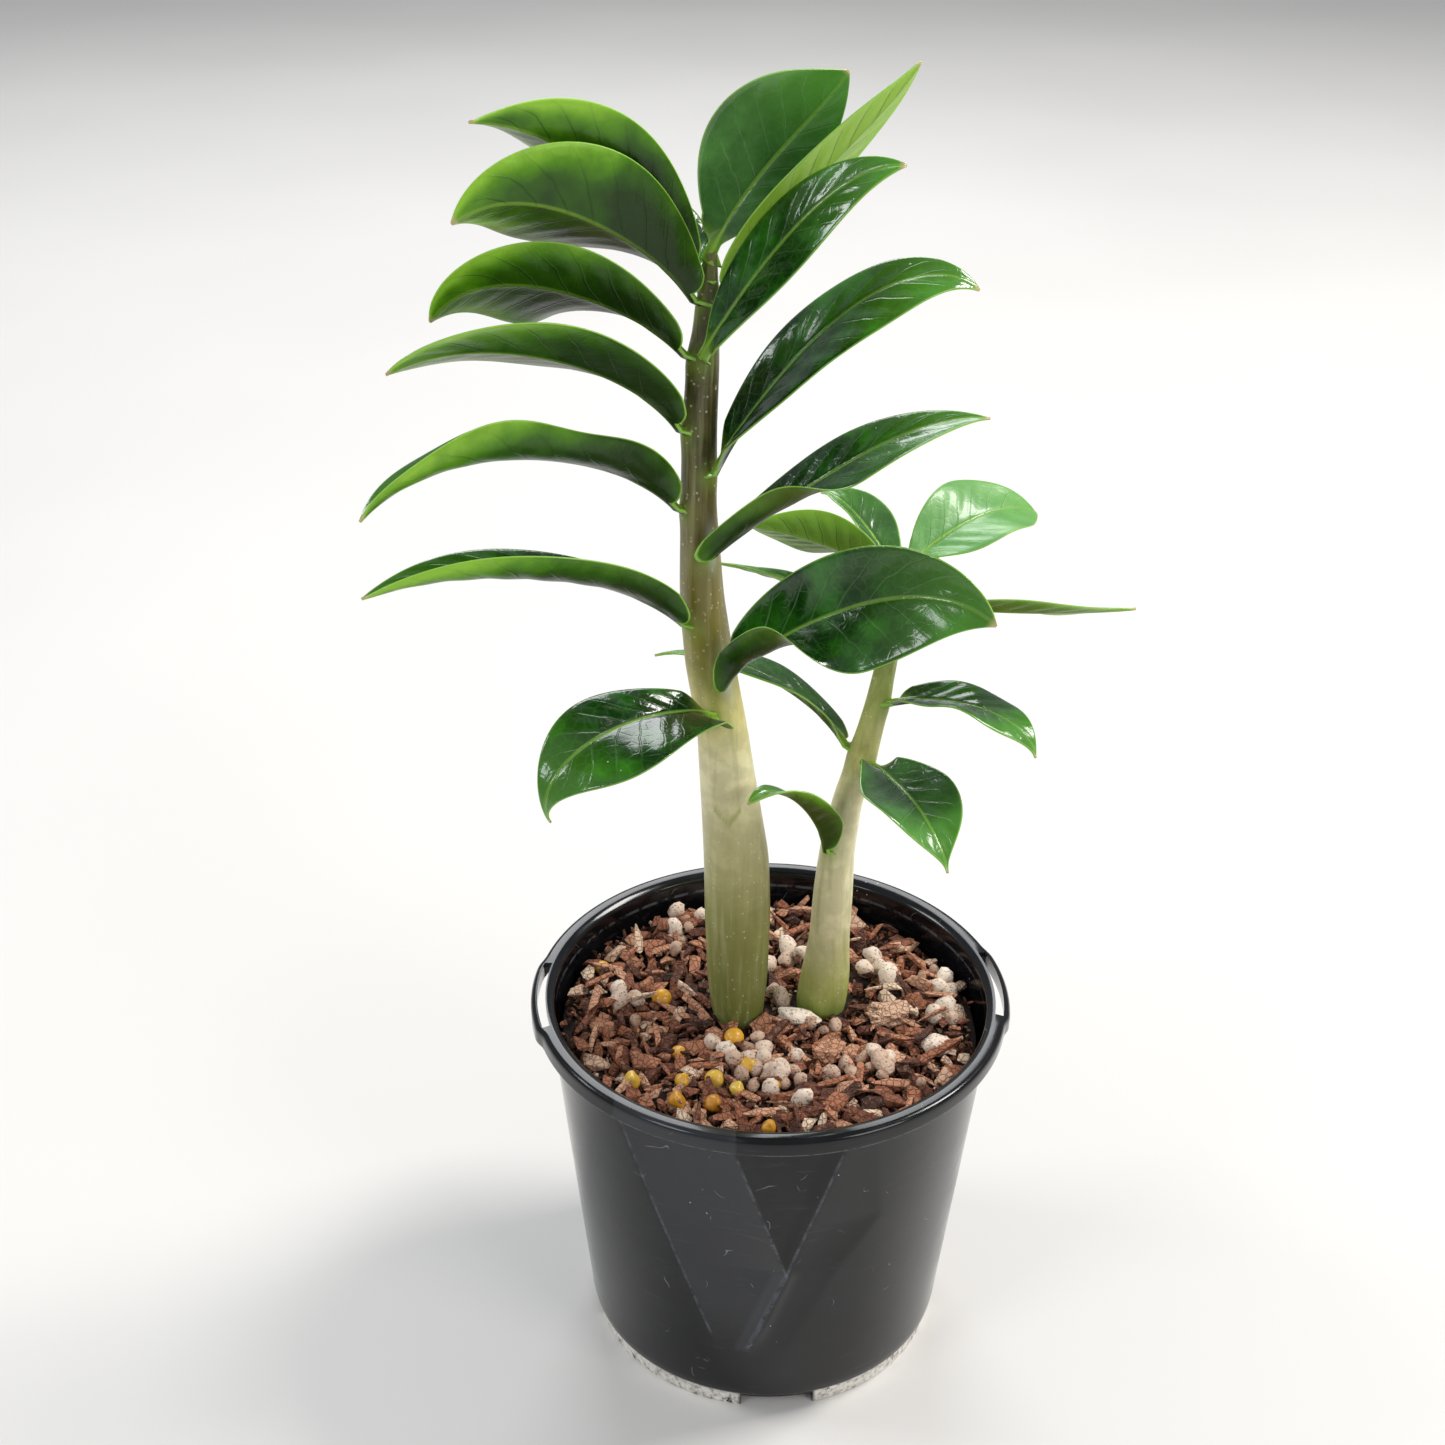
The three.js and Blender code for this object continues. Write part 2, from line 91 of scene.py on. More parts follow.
# Each bit's length, width and turn on the mix, as its CAD node has them.
BIT_SIZES = {
    "bark_knot": (15, 12, 20), "bark_chunk": (12, 10, 60), "bark_flat": (11, 5.5, 75),
    "bark_sliver_left": (22, 4, -20), "bark_sliver_right": (15, 4, -12), "bark_sliver_front": (20, 3.5, -5),
    "bark_sliver_back": (11, 3, -50), "pumice_white": (12, 6, -15), "pumice_right": (8, 7, 30),
    "pumice_long": (10, 5.5, 110), "pumice_front": (8, 6, 95), "pumice_back": (7, 6, 10),
    "bead_stalk": (5, 5, 0), "bead_front": (5, 5, 0), "bead_left": (5.2, 5.2, 0), "bead_edge": (5, 5, 0),
}

# The tints of the bits that stand out. The others' come from their places in the table.
BIT_TINTS = {"bark_knot": 0.9, "bark_chunk": 0.8, "pumice_white": 1.0}

# Where pumice lies thickest: [x, y, how far it spreads].
PUMICE_SPOTS = [
    (-20, 43, 9), (7, 27, 9), (7, 12, 6), (13, 2, 5), (-7, -14, 8), (1, -23, 9), (22, -20, 8),
    (29, 24, 8), (43, 2, 6), (46, 17, 5), (36, -27, 6), (-38, 6, 4),
]

# Plant
PETIOLE_SHARE = 0.04
PETIOLE_HALF_WIDTH = 1.1
BLADE_ROWS = 72
FOOT_ROWS = 5
FOOT_OUT = 1.55
FOOT_SINK = 3.4
VEIN_PAIRS = 9
STALK_SIDES = 72

# Each stop is [x, y, height, radius] along a stalk.
STALKS = {
    "main": [
        [-7.5, 6, 80, 5], [-8, 6, 90, 6.8], [-8.3, 5.5, 100, 7.7], [-8.8, 5, 120, 8.3], [-9.3, 5, 137, 8.1],
        [-10.7, 5, 152, 7.2], [-13, 5, 174, 6], [-16.2, 5, 191, 5.9], [-18.1, 5, 208, 5.1],
        [-19, 5, 231, 4.1], [-19, 5, 250, 3.9], [-18.2, 5, 265, 3.6], [-17, 5, 279, 2.2],
        [-16.5, 5, 288, 1.5],
    ],
    "side": [
        [13.2, 10.5, 80, 4.5], [13.8, 10.5, 88, 6.6], [14.6, 10.5, 97, 6.4], [15.1, 10.8, 108, 5.2],
        [15.5, 11, 122, 5], [16.1, 11.5, 134, 4.4], [18.4, 12.5, 149, 3.8], [21.6, 14, 160, 3.5],
        [25, 16, 175, 2.9], [27, 18, 186, 2.6], [28.6, 19.5, 200, 2.2], [29.6, 21, 212, 1.6],
    ],
}

# Each leaflet grows from its stalk at a height, on the side that foot gives, and heads off at an
# azimuth. rise, droop and hook bend it along its length, roll and twist turn up its left half, left
# and right are the widths of its halves, taper and tip sharpen its two ends, fold lifts both halves
# near the foot, the cups bend each half, curl bends the right half more near the foot, and the lobes
# reach back past the foot. ripple scales the blade's small waves, which are slight where two blades
# lie close. tone makes it younger and paler.
PLAIN = dict(hook=20, sweep=0, roll=0, twist=0, taper=0.75, tip=0.85, fold=45, cup_left=12,
             cup_right=12, curl=0, lobe_left=0, lobe_right=0, wave=0, ripple=1.0, tone=0.0)
LEAFLETS = {
    "main": [
        dict(name="left_1", height=180, foot=259, heading=221, length=60, rise=38, droop=61, hook=102,
             sweep=-4, roll=-23, twist=5, left=16, right=10.5, taper=0.45, tip=1.8, fold=40, cup_left=5,
             cup_right=0, lobe_left=8),
        dict(name="left_2", height=203, foot=225, heading=203, length=80, rise=50, droop=53, hook=15,
             roll=-10, twist=-5, left=15, right=7, taper=0.6, fold=30, cup_left=95, cup_right=15,
             lobe_left=6),
        dict(name="left_3", height=231, foot=207, heading=212, length=82, rise=54, droop=63, hook=40,
             sweep=-7, roll=-6, twist=2, left=14.5, right=10, cup_left=100, cup_right=10, lobe_left=6,
             wave=1.5),
        dict(name="left_4", height=250, foot=218, heading=208, length=73, rise=60, droop=61, hook=25,
             sweep=-9, roll=-4, twist=47, left=14.5, right=13.5, taper=0.65, cup_left=0, lobe_left=4),
        dict(name="left_5", height=267, foot=210, heading=202, length=63, rise=52, droop=47, hook=66,
             sweep=-7, roll=-2, twist=61, left=11.5, right=17.5, fold=40, cup_left=20, cup_right=10,
             curl=25, lobe_left=3),
        dict(name="left_6", height=279, foot=208, heading=213, length=65, rise=58, droop=43, hook=50,
             sweep=-3, roll=-1, twist=60, left=15, right=16, fold=50, cup_left=45, cup_right=20,
             lobe_left=5),
        dict(name="left_7", height=284, foot=175, heading=207, length=68, rise=67, droop=45, hook=17,
             sweep=15, roll=6, twist=35, left=12.5, right=13.5, tip=1.1, cup_left=45, cup_right=45,
             lobe_left=3),
        dict(name="right_1", height=189, foot=294, heading=338, length=76, rise=56, droop=38, hook=55,
             sweep=-5, roll=42, twist=18, left=13, right=16, taper=0.5, fold=35, cup_left=35, cup_right=0,
             curl=170, lobe_right=6),
        dict(name="right_2", height=220, foot=287, heading=3, length=72, rise=41, droop=10, hook=38,
             sweep=-3, roll=15, twist=8, left=8.5, right=14, tip=1.1, fold=50, cup_left=0, cup_right=35,
             curl=80, lobe_right=12),
        dict(name="right_3", height=240, foot=310, heading=5, length=78, rise=67, droop=29, hook=80,
             sweep=-6, roll=-2, twist=27, left=9.5, right=12.5, taper=0.6, fold=50, cup_left=5, cup_right=0,
             lobe_right=5),
        dict(name="right_4", height=267, foot=268, heading=344, length=64, rise=65, droop=18, hook=45,
             sweep=2, roll=72, twist=-33, left=8.5, right=10.5, taper=0.9, fold=40, cup_left=10,
             cup_right=5, lobe_right=6, ripple=0.3),
        dict(name="right_5", height=280, foot=355, heading=0, length=63, rise=64, droop=27, hook=-20,
             sweep=11, roll=-45, twist=1, left=9, right=9, taper=0.6, fold=50, cup_left=0, cup_right=0,
             lobe_right=4, ripple=0.3, tone=1),
        dict(name="back", height=275, foot=95, heading=125, length=30, rise=62, droop=10, roll=20, left=7,
             right=7),
        dict(name="top", height=288, foot=None, heading=15, length=47, rise=68, droop=32, hook=-19, roll=78,
             twist=16, left=19.5, right=9, fold=35, cup_left=20, tone=0.35),
    ],
    "side": [
        dict(name="right_1", height=160, foot=300, heading=296, length=41, rise=17, droop=37, hook=42,
             sweep=-3, roll=3, twist=-9, left=11, right=14, taper=0.6, tip=1.7, fold=50, cup_left=40,
             cup_right=15, lobe_right=4, tone=0.2),
        dict(name="right_2", height=176, foot=313, heading=339, length=42, rise=25, droop=32, hook=67,
             sweep=-22, roll=1, twist=-11, left=9, right=10, taper=0.65, tip=1.25, fold=50, cup_right=0,
             lobe_left=2, lobe_right=4, tone=0.1),
        dict(name="right_3", height=200, foot=-3, heading=341, length=53, rise=1, droop=-3, hook=0,
             sweep=21, roll=-21, twist=-11, left=7, right=5.5, fold=40, cup_right=25, tone=0.3),
        dict(name="right_4", height=207, foot=59, heading=40, length=47, rise=37, droop=47, hook=26,
             roll=21, twist=1, left=11.5, right=12, fold=35, cup_left=15, cup_right=20, tone=1),
        dict(name="left_1", height=137, foot=236, heading=219, length=39, rise=84, droop=51, hook=69,
             roll=-19, twist=21, left=10, right=5, cup_left=30, cup_right=0, lobe_left=2, tone=0.1),
        dict(name="left_2", height=163, foot=172, heading=168, length=55, rise=63, droop=56, hook=25,
             sweep=9, roll=-7, twist=22, left=4.5, right=7.5, taper=0.6, cup_left=5, cup_right=5,
             lobe_right=5, tone=0.2),
        dict(name="left_3", height=192, foot=169, heading=182, length=44, rise=52, droop=40, hook=2,
             sweep=7, roll=-4, twist=-1, left=7, right=3, taper=0.7, cup_left=50, cup_right=5, tone=0.2),
        dict(name="left_4", height=208, foot=189, heading=194, length=38, rise=35, droop=16, hook=7,
             sweep=3, twist=54, left=9.5, right=8.5, fold=40, cup_left=25, cup_right=15, tone=0.4),
        dict(name="left_5", height=206, foot=104, heading=127, length=31, rise=45, droop=26, hook=39,
             sweep=4, roll=-5, twist=9, left=5.5, right=7.5, cup_left=45, cup_right=40, lobe_right=2,
             tone=0.3),
    ],
}

scene = bpy.context.scene


# ---- node trees ----

class Value:
    """An output of a node tree. Arithmetic on it adds Math nodes."""

    def __init__(self, tree, socket):
        self.tree, self.socket = tree, socket

    def __add__(self, other):
        return self.tree.math("ADD", self, other)

    def __sub__(self, other):
        return self.tree.math("SUBTRACT", self, other)

    def __rsub__(self, other):
        return self.tree.math("SUBTRACT", other, self)

    def __mul__(self, other):
        return self.tree.math("MULTIPLY", self, other)

    def __truediv__(self, other):
        return self.tree.math("DIVIDE", self, other)

    def __pow__(self, other):
        return self.tree.math("POWER", self, other)

    __radd__ = __add__
    __rmul__ = __mul__


class Tree:
    """Builds a shader or geometry tree node by node."""

    def __init__(self, nodes_of):
        self.tree = nodes_of
        self.tree.nodes.clear()

    def node(self, kind, settings=None, inputs=None, output=0):
        made = self.tree.nodes.new(kind)
        for key, value in (settings or {}).items():
            if key == "stops":
                fill_ramp(made.color_ramp, value)
            else:
                setattr(made, key, value)
        for key, value in (inputs or {}).items():
            if isinstance(value, Value):
                self.tree.links.new(value.socket, made.inputs[key])
            else:
                made.inputs[key].default_value = value
        return Value(self, made.outputs[output]) if made.outputs else None

    def math(self, operation, *values):
        return self.node("ShaderNodeMath", {"operation": operation}, dict(enumerate(values)))

    def attribute(self, name):
        return self.node("ShaderNodeAttribute", {"attribute_name": name}, output="Fac")

    def place(self, stretch=(1, 1, 1)):
        """A point on the piece in millimetres, with each axis multiplied by stretch."""
        point = self.node("ShaderNodeTexCoord", output="Object")
        scale = [axis / MM for axis in stretch]
        return self.node("ShaderNodeVectorMath", {"operation": "MULTIPLY"}, {0: point, 1: scale})

    def parts_of(self, point):
        return [self.node("ShaderNodeSeparateXYZ", inputs={0: point}, output=axis) for axis in "XYZ"]

    def cloud(self, point, size, detail=3, rough=0.55):
        """Soft noise from 0 to 1 whose blotches are about size millimetres across."""
        return self.node("ShaderNodeTexNoise", inputs={
            "Vector": point, "Scale": 1 / size, "Detail": detail, "Roughness": rough})

    def cells(self, point, size, feature="F1", output="Distance"):
        return self.node("ShaderNodeTexVoronoi", {"feature": feature},
                         {"Vector": point, "Scale": 1 / size}, output)

    def ease(self, value, low, high, start=0.0, end=1.0):
        """Goes smoothly from start, at low, to end, at high."""
        return self.node("ShaderNodeMapRange", {"interpolation_type": "SMOOTHSTEP"},
                         {0: value, 1: low, 2: high, 3: start, 4: end})

    def blend(self, share, first, second):
        """Mixes two colours, each a node's output or six hexadecimal digits."""
        first, second = (ink(colour) if isinstance(colour, str) else colour for colour in (first, second))
        return self.node("ShaderNodeMix", {"data_type": "RGBA"}, {0: share, 6: first, 7: second}, output=2)

    def ramp(self, value, *stops):
        """A colour that changes with a value. Stops are (value, six hexadecimal digits)."""
        return self.node("ShaderNodeValToRGB", {"stops": stops}, {0: value})

    def finish(self, colour, roughness, height=None, depth=0.1, **fixed):
        """The surface, its grain raised by height times depth millimetres."""
        links = {"Base Color": colour, "Roughness": roughness}
        if height is not None:
            links["Normal"] = self.node("ShaderNodeBump", inputs={
                "Strength": 1.0, "Distance": depth * MM, "Height": height})
        links.update({key.replace("_", " "): value for key, value in fixed.items()})
        skin = self.node("ShaderNodeBsdfPrincipled", inputs=links)
        self.node("ShaderNodeOutputMaterial", inputs={"Surface": skin})


def fill_ramp(ramp, stops):
    while len(ramp.elements) > 1:
        ramp.elements.remove(ramp.elements[-1])
    for index, (position, colour) in enumerate(stops):
        element = ramp.elements[0] if index == 0 else ramp.elements.new(position)
        element.position, element.color = position, ink(colour)


def ink(code):
    """A colour for a shader from its six hexadecimal digits."""
    parts = [int(code[at:at + 2], 16) / 255 for at in (0, 2, 4)]
    return [p / 12.92 if p <= 0.04045 else ((p + 0.055) / 1.055) ** 2.4 for p in parts] + [1.0]


def new_material(name):
    material = bpy.data.materials.new(name)
    material.use_nodes = True
    return material, Tree(material.node_tree)


# ---- finishes ----

# Where the front of the wall creased, each line from one [across, height] to another.
LEFT_CREASE = [(-38, 96), (-13.9, 26.8)]
VEE_LEFT = [(-8.4, 90), (4.2, 51)]
VEE_RIGHT = [(16.6, 90), (4.2, 51)]
VEE_STEM = [(4.2, 51), (-5.2, 22.6)]
CREASE_WIDTHS = [(LEFT_CREASE, 0.6), (VEE_LEFT, 0.6), (VEE_RIGHT, 0.6), (VEE_STEM, 1.0)]


def crease_at(t, height, crease):
    """How far across a crease is at a height. It stays at its ends beyond them."""
    (top_across, top), (foot_across, foot) = crease
    return t.node("ShaderNodeMapRange", inputs={0: height, 1: foot, 2: top, 3: foot_across, 4: top_across})


def crease_line(t, x, z, crease, width):
    """1 along a crease and 0 beyond its width on either side."""
    (_, top), (_, foot) = crease
    line = t.ease(t.math("ABSOLUTE", x - crease_at(t, z, crease)), width * 0.25, width, 1.0, 0.0)
    return line * t.ease(z, foot - 1, foot + 1) * t.ease(z, top - 1, top + 1, 1.0, 0.0)


def black_plastic():
    """Thin glossy black plastic, handled, with dust and scratches, whitened along its creases, with lime
    dried on its foot. Its bent front panel and a strip by the vee are lighter: painted reflection."""
    material, t = new_material("black_plastic")
    point = t.place()
    x, y, z = t.parts_of(point)
    smudge = t.cloud(point, 14, 4)
    scratch = t.cloud(t.place((0.25, 0.25, 3.0)), 3, 2)
    dots = t.cells(point, 4.5)
    speck = t.ease(dots, 0.03, 0.055, 1.0, 0.0) * t.ease(t.cloud(point, 9, 1), 0.48, 0.56)
    hair = t.ease(t.math("ABSOLUTE", t.cloud(point, 16, 2) - 0.5), 0.001, 0.004, 1.0, 0.0)
    hair = hair * t.ease(t.cloud(point, 6, 1), 0.62, 0.7)
    wander = t.cloud(point, 3.2, 5, 0.7)
    bare = t.ease(t.cloud(point, 7, 3), 0.3, 0.42)
    lime = t.ease(z + wander * 5 - 2.5, 3.4, 5.6, 1.0, 0.0) * t.ease(wander, 0.34, 0.44) * bare
    lime = lime * t.ease(t.math("ABSOLUTE", x - 3), 9.0, 10.5)
    front = t.math("LESS_THAN", y, 0.0)
    crease = sum(crease_line(t, x, z, line, width) for line, width in CREASE_WIDTHS) * front
    # Painted reflection: the bent left panel, between the left crease and the vee, and a strip beside the
    # vee's stem are made lighter, as if they caught more light.
    across = crease_at(t, z, VEE_LEFT) + crease_at(t, z, VEE_STEM) - VEE_LEFT[1][0]
    bent = t.ease(x - crease_at(t, z, LEFT_CREASE), 0.0, 0.7) * t.ease(across - x, 0.0, 0.7) * front
    bent = bent * t.ease(z, 18, 40, 0.0, 0.4) + crease_line(t, x + 1.6, z, VEE_STEM, 2.4) * front * 0.35
    worn = t.ease(t.math("ABSOLUTE", z - LIP_HEIGHT), 0.15, 0.6, 1.0, 0.0) * t.ease(wander, 0.4, 0.55)
    black = t.ramp(smudge, (0.3, "08090b"), (0.7, "131418"))
    # Dust along the scratches, plus the painted reflection on the bent panel, lightens the black.
    dust_and_sheen = t.blend(t.ease(scratch, 0.6, 0.75, 0.0, 0.12) + bent * 0.4, black, "5c5f66")
    chalk = t.ramp(t.cloud(point, 1.4, 4), (0.32, "9a948c"), (0.46, "d8d4cb"), (0.66, "f4f1ea"))
    colour = t.blend(crease * t.ease(wander, 0.35, 0.6, 0.08, 0.5), dust_and_sheen, "5d636e")
    colour = t.blend(worn * 0.3, colour, "8b9099")
    colour = t.blend(t.math("MAXIMUM", speck, hair * 0.3), colour, "b9bcc2")
    colour = t.blend(lime, colour, chalk)
    roughness = t.ease(smudge, 0.3, 0.75, 0.09, 0.2) + scratch * 0.05 + lime * 0.5
    height = smudge * 0.5 + scratch * 0.1 + lime * (1 + wander)
    t.finish(colour, roughness, height, 0.1, Specular_IOR_Level=0.3, Coat_Weight=0.15, Coat_Roughness=0.06)
    return material


def leaf_masks(t):
    """Where the midrib, the side veins, the margin and the foot of a blade are, each 0 to 1."""
    along, across, half = (t.attribute(name) for name in ("along", "across", "half_width"))
    point = t.place()
    out = t.math("ABSOLUTE", across)
    wobble = t.cloud(point, 9, 2) * 0.5
    side = t.math("GREATER_THAN", across, 0.0) * 0.5
    phase = (along - out ** 0.85 * 0.2) * VEIN_PAIRS + side + wobble
    near = 0.5 - t.math("ABSOLUTE", t.math("FRACT", phase) - 0.5)
    reach = out * half
    vein = t.ease(near, 0.01, 0.06, 1.0, 0.0) * t.ease(out, 0.35, 0.95, 1.0, 0.15)
    vein = vein * t.ease(along, 0.08, 0.2) * t.ease(along, 0.85, 0.97, 1.0, 0.0)
    net = t.ease(t.cells(point, 2.6, "DISTANCE_TO_EDGE"), 0.02, 0.14, 1.0, 0.0)
    midrib = t.ease(reach, 0.2, 0.7, 1.0, 0.0)
    margin = t.ease((1 - out) * half, 0.1, 0.36, 1.0, 0.0)
    foot = t.ease(along, 0.02, 0.13, 1.0, 0.0)
    return dict(point=point, along=along, out=out, vein=vein, net=net, midrib=midrib, left=side * 2,
                margin=margin, foot=foot, tone=t.attribute("tone"))


def leaf_top():
    """The upper skin: dark, glossy and quilted, with paler veins and a thin bright margin, painted shade
    towards the foot and painted light towards the tip.
    """
    material, t = new_material("leaf_top")
    m = leaf_masks(t)
    blotch = t.cloud(m["point"], 13, 4)
    dark = t.ramp(blotch, (0.3, "071f06"), (0.5, "113c0a"), (0.72, "337c18"))
    young = t.ramp(blotch, (0.3, "5fa24d"), (0.7, "8cc475"))
    colour = t.blend(m["tone"] * 0.9, dark, young)
    # Painted shade: darker towards the foot.
    colour = t.blend(t.ease(m["along"], 0.12, 0.5, 0.3, 0.0) * (1 - m["tone"]), colour, "081f08")
    # Painted light: paler and yellower towards the tip.
    colour = t.blend(t.ease(m["along"], 0.45, 1.0, 0.0, 0.5), colour, "66ad33")
    colour = t.blend(m["net"] * 0.08, colour, "5c9a48")
    colour = t.blend(m["vein"] * t.ease(blotch, 0.35, 0.65, 0.06, 0.22), colour, "79b25c")
    colour = t.blend(m["midrib"] * t.ease(m["along"], 0.2, 1.0, 0.8, 0.3), colour, "8cba46")
    colour = t.blend(m["foot"] * 0.7, colour, "7fa82a")
    colour = t.blend(m["margin"] * 0.7, colour, "8fc04a")
    colour = t.blend(t.ease(m["along"], 0.97, 0.995), colour, "b9b377")
    speck = t.ease(t.cells(m["point"], 6), 0.03, 0.05, 1.0, 0.0)
    speck = speck * t.ease(t.cloud(m["point"], 8, 1), 0.52, 0.6)
    colour = t.blend(speck, colour, "d5dccb")
    crease = t.cloud(m["point"], 2.2, 3)
    roughness = t.ease(blotch, 0.3, 0.8, 0.12, 0.22) + m["vein"] * 0.05 + m["tone"] * 0.22 + speck * 0.4
    height = (1 - m["vein"]) * 0.5 - m["net"] * 0.08 - m["midrib"] * 0.5 + crease * 0.2
    t.finish(colour, roughness, height, 0.2, Coat_Weight=0.15, Coat_Roughness=0.1,
             Subsurface_Weight=0.08, Subsurface_Radius=[0.6, 1.0, 0.15], Subsurface_Scale=1.0 * MM)
    return material


def leaf_under():
    """The underside: olive green. Painted light and shade: darker by the foot and the midrib, bright
    along its thin edges and towards its tip as if lit through, browner on the half that hangs lower."""
    material, t = new_material("leaf_under")
    m = leaf_masks(t)
    blotch = t.cloud(m["point"], 15, 4)
    # Painted light: brighter towards the tip and out towards the edges, as if light shone through the thin
    # blade, and so darker by the midrib.
    thin = t.ease(m["along"], 0.25, 1.0, 0.0, 0.55) + t.ease(m["out"], 0.35, 1.0, 0.0, 0.38)
    light = thin + (blotch - 0.5) * 0.9
    green = t.ramp(light, (0.08, "1b3a05"), (0.3, "33600a"), (0.52, "578e12"),
                   (0.8, "90c238"))
    # Painted shade: the right half, which hangs lower, turns browner.
    brown = t.ease(blotch + m["out"] * 0.1, 0.45, 0.72, 0.12, 0.6) * (1 - m["left"])
    colour = t.blend(brown * t.ease(m["along"], 0.15, 0.4), green, "5d5428")
    # Painted shade: darker towards the foot.
    colour = t.blend(t.ease(m["along"], 0.15, 0.55, 0.4, 0.0), colour, "1f2e0a")
    colour = t.blend(m["tone"] * 0.8, colour, "9fcb45")
    colour = t.blend(m["vein"] * 0.45, colour, "1f3c08")
    colour = t.blend(m["midrib"] * t.ease(m["along"], 0.1, 0.7, 0.25, 0.6), colour, "86ad3c")
    # Painted light: the thin edges glow brighter, as if lit through.
    colour = t.blend(m["margin"] * 0.8, colour, "9fd05a")
    colour = t.blend(t.ease(m["along"], 0.97, 0.995), colour, "b9b377")
    roughness = t.ease(blotch, 0.3, 0.8, 0.3, 0.42)
    height = m["vein"] * 0.5 + m["net"] * 0.12 + t.cloud(m["point"], 1.6, 3) * 0.3
    t.finish(colour, roughness, height, 0.16, Specular_IOR_Level=0.3, Subsurface_Weight=0.15,
             Subsurface_Radius=[0.7, 1.0, 0.12], Subsurface_Scale=1.5 * MM)
    return material


def stalk_skin(name, bands):
    """Fleshy skin that changes with height, with pale specks and long streaks. Bands are
    [height in millimetres, colour] from the foot up."""
    material, t = new_material(name)
    point = t.place()
    height_up = t.parts_of(point)[2]
    low, high = bands[0][0], bands[-1][0]
    wander = t.cloud(point, 12, 3) * 14 - 7
    climb = (height_up + wander - low) / (high - low)
    base = t.ramp(climb, *[((at - low) / (high - low), code) for at, code in bands])
    streak = t.cloud(t.place((1, 1, 0.05)), 1.7, 4)
    colour = t.blend(t.ease(streak, 0.48, 0.7, 0.0, 0.22), base, "e6dfb4")
    colour = t.blend(t.ease(streak, 0.3, 0.48, 0.22, 0.0), colour, "6a6e34")
    colour = t.blend(t.ease(t.cloud(point, 5, 4), 0.4, 0.65, 0.25, 0.0), colour, "7c7a3e")
    dots = t.ease(t.cells(point, 1.5), 0.12, 0.24, 1.0, 0.0) * t.ease(t.cloud(point, 3, 2), 0.42, 0.6)
    colour = t.blend(dots * 0.55, colour, "dfe0bc")
    freckle = t.ease(t.cells(t.place((1.1, 1.1, 0.7)), 2.6), 0.06, 0.13, 1.0, 0.0)
    colour = t.blend(freckle * t.ease(height_up, 150, 215) * 0.6, colour, "c9b98a")
    colour = t.blend(t.attribute("node") * 0.5, colour, "7f9a2a")
    colour = t.blend(t.attribute("scar"), colour, "8a9a26")
    colour = t.blend(t.attribute("sheath") * 0.75, colour, "c6cbc4")
    roughness = t.ease(streak, 0.3, 0.7, 0.34, 0.48)
    relief = streak * 0.25 + dots * 0.4 + t.cloud(point, 1.2, 3) * 0.25
    t.finish(colour, roughness, relief, 0.12, Subsurface_Weight=0.15,
             Subsurface_Radius=[1.0, 0.8, 0.3], Subsurface_Scale=1.5 * MM)
    return material


def bark():
    """Chipped pine bark: red-brown flakes with fibrous grain, paler on broken faces."""
    material, t = new_material("bark")
    tint = t.attribute("tint")
    point = t.place()
    grain = t.cloud(t.place((1.0, 0.35, 1.6)), 0.9, 5, 0.7)
    body = t.ramp(tint, (0.0, "33190f"), (0.3, "74402a"), (0.6, "ad6c4c"),
                  (0.85, "d29c7c"), (1.0, "f0d6bb"))
    colour = t.blend(t.ease(grain, 0.5, 0.72, 0.0, 0.55), body, "b98a6b")
    colour = t.blend(t.ease(grain, 0.28, 0.45, 0.7, 0.0), colour, "1d0f0a")
    # Painted shade: the cracks between the flake's plates, sunk by the bump below, are darkened.
    flake = t.cells(point, 1.7, "DISTANCE_TO_EDGE")
    colour = t.blend(t.ease(flake, 0.0, 0.08, 0.5, 0.0), colour, "26140d")
    t.finish(colour, t.ease(grain, 0.2, 0.8, 0.7, 0.95), grain * 1.5 + t.ease(flake, 0.0, 0.12), 0.35)
    return material


def pumice():
    """Pumice: off-white to pinkish grey, pitted, with brown dust in the pits."""
    material, t = new_material("pumice")
    tint = t.attribute("tint")
    point = t.place()
    pit = t.cells(point, 0.9)
    stain = t.cloud(point, 2.2, 4, 0.65)
    body = t.ramp(tint, (0.0, "a07e68"), (0.5, "c9ab96"), (1.0, "ecdccb"))
    colour = t.blend(t.ease(stain, 0.52, 0.7, 0.0, 0.6), body, "7c5540")
    colour = t.blend(t.ease(pit, 0.1, 0.3, 0.45, 0.0), colour, "6a4a38")
    t.finish(colour, t.ease(stain, 0.3, 0.7, 0.8, 0.95), t.ease(pit, 0.05, 0.4) + stain, 0.3)
    return material


def fertiliser_bead():
    """Coated feed beads: waxy yellow to orange shells, dusty in places."""
    material, t = new_material("fertiliser_bead")
    point = t.place()
    shade = t.cloud(point, 2.4, 3)
    body = t.ramp(t.attribute("tint"), (0.0, "c08018"), (0.5, "dca128"), (1.0, "e0bf4e"))
    colour = t.blend(t.ease(shade, 0.5, 0.75, 0.0, 0.4), body, "8a6a1c")
    t.finish(colour, t.ease(shade, 0.3, 0.7, 0.3, 0.5), shade, 0.12, Coat_Weight=0.3, Coat_Roughness=0.25,
             Subsurface_Weight=0.2, Subsurface_Radius=[1.0, 0.7, 0.2], Subsurface_Scale=1.0 * MM)
    return material


def dark_crumbs():
    """The damp fines under the chips, almost black."""
    material, t = new_material("dark_crumbs")
    point = t.place()
    grain = t.cloud(point, 1.1, 5, 0.7)
    colour = t.ramp(grain, (0.35, "120a07"), (0.6, "2f1c14"), (0.75, "553526"))
    t.finish(colour, t.ease(grain, 0.3, 0.7, 0.75, 0.95), grain, 0.8)
    return material


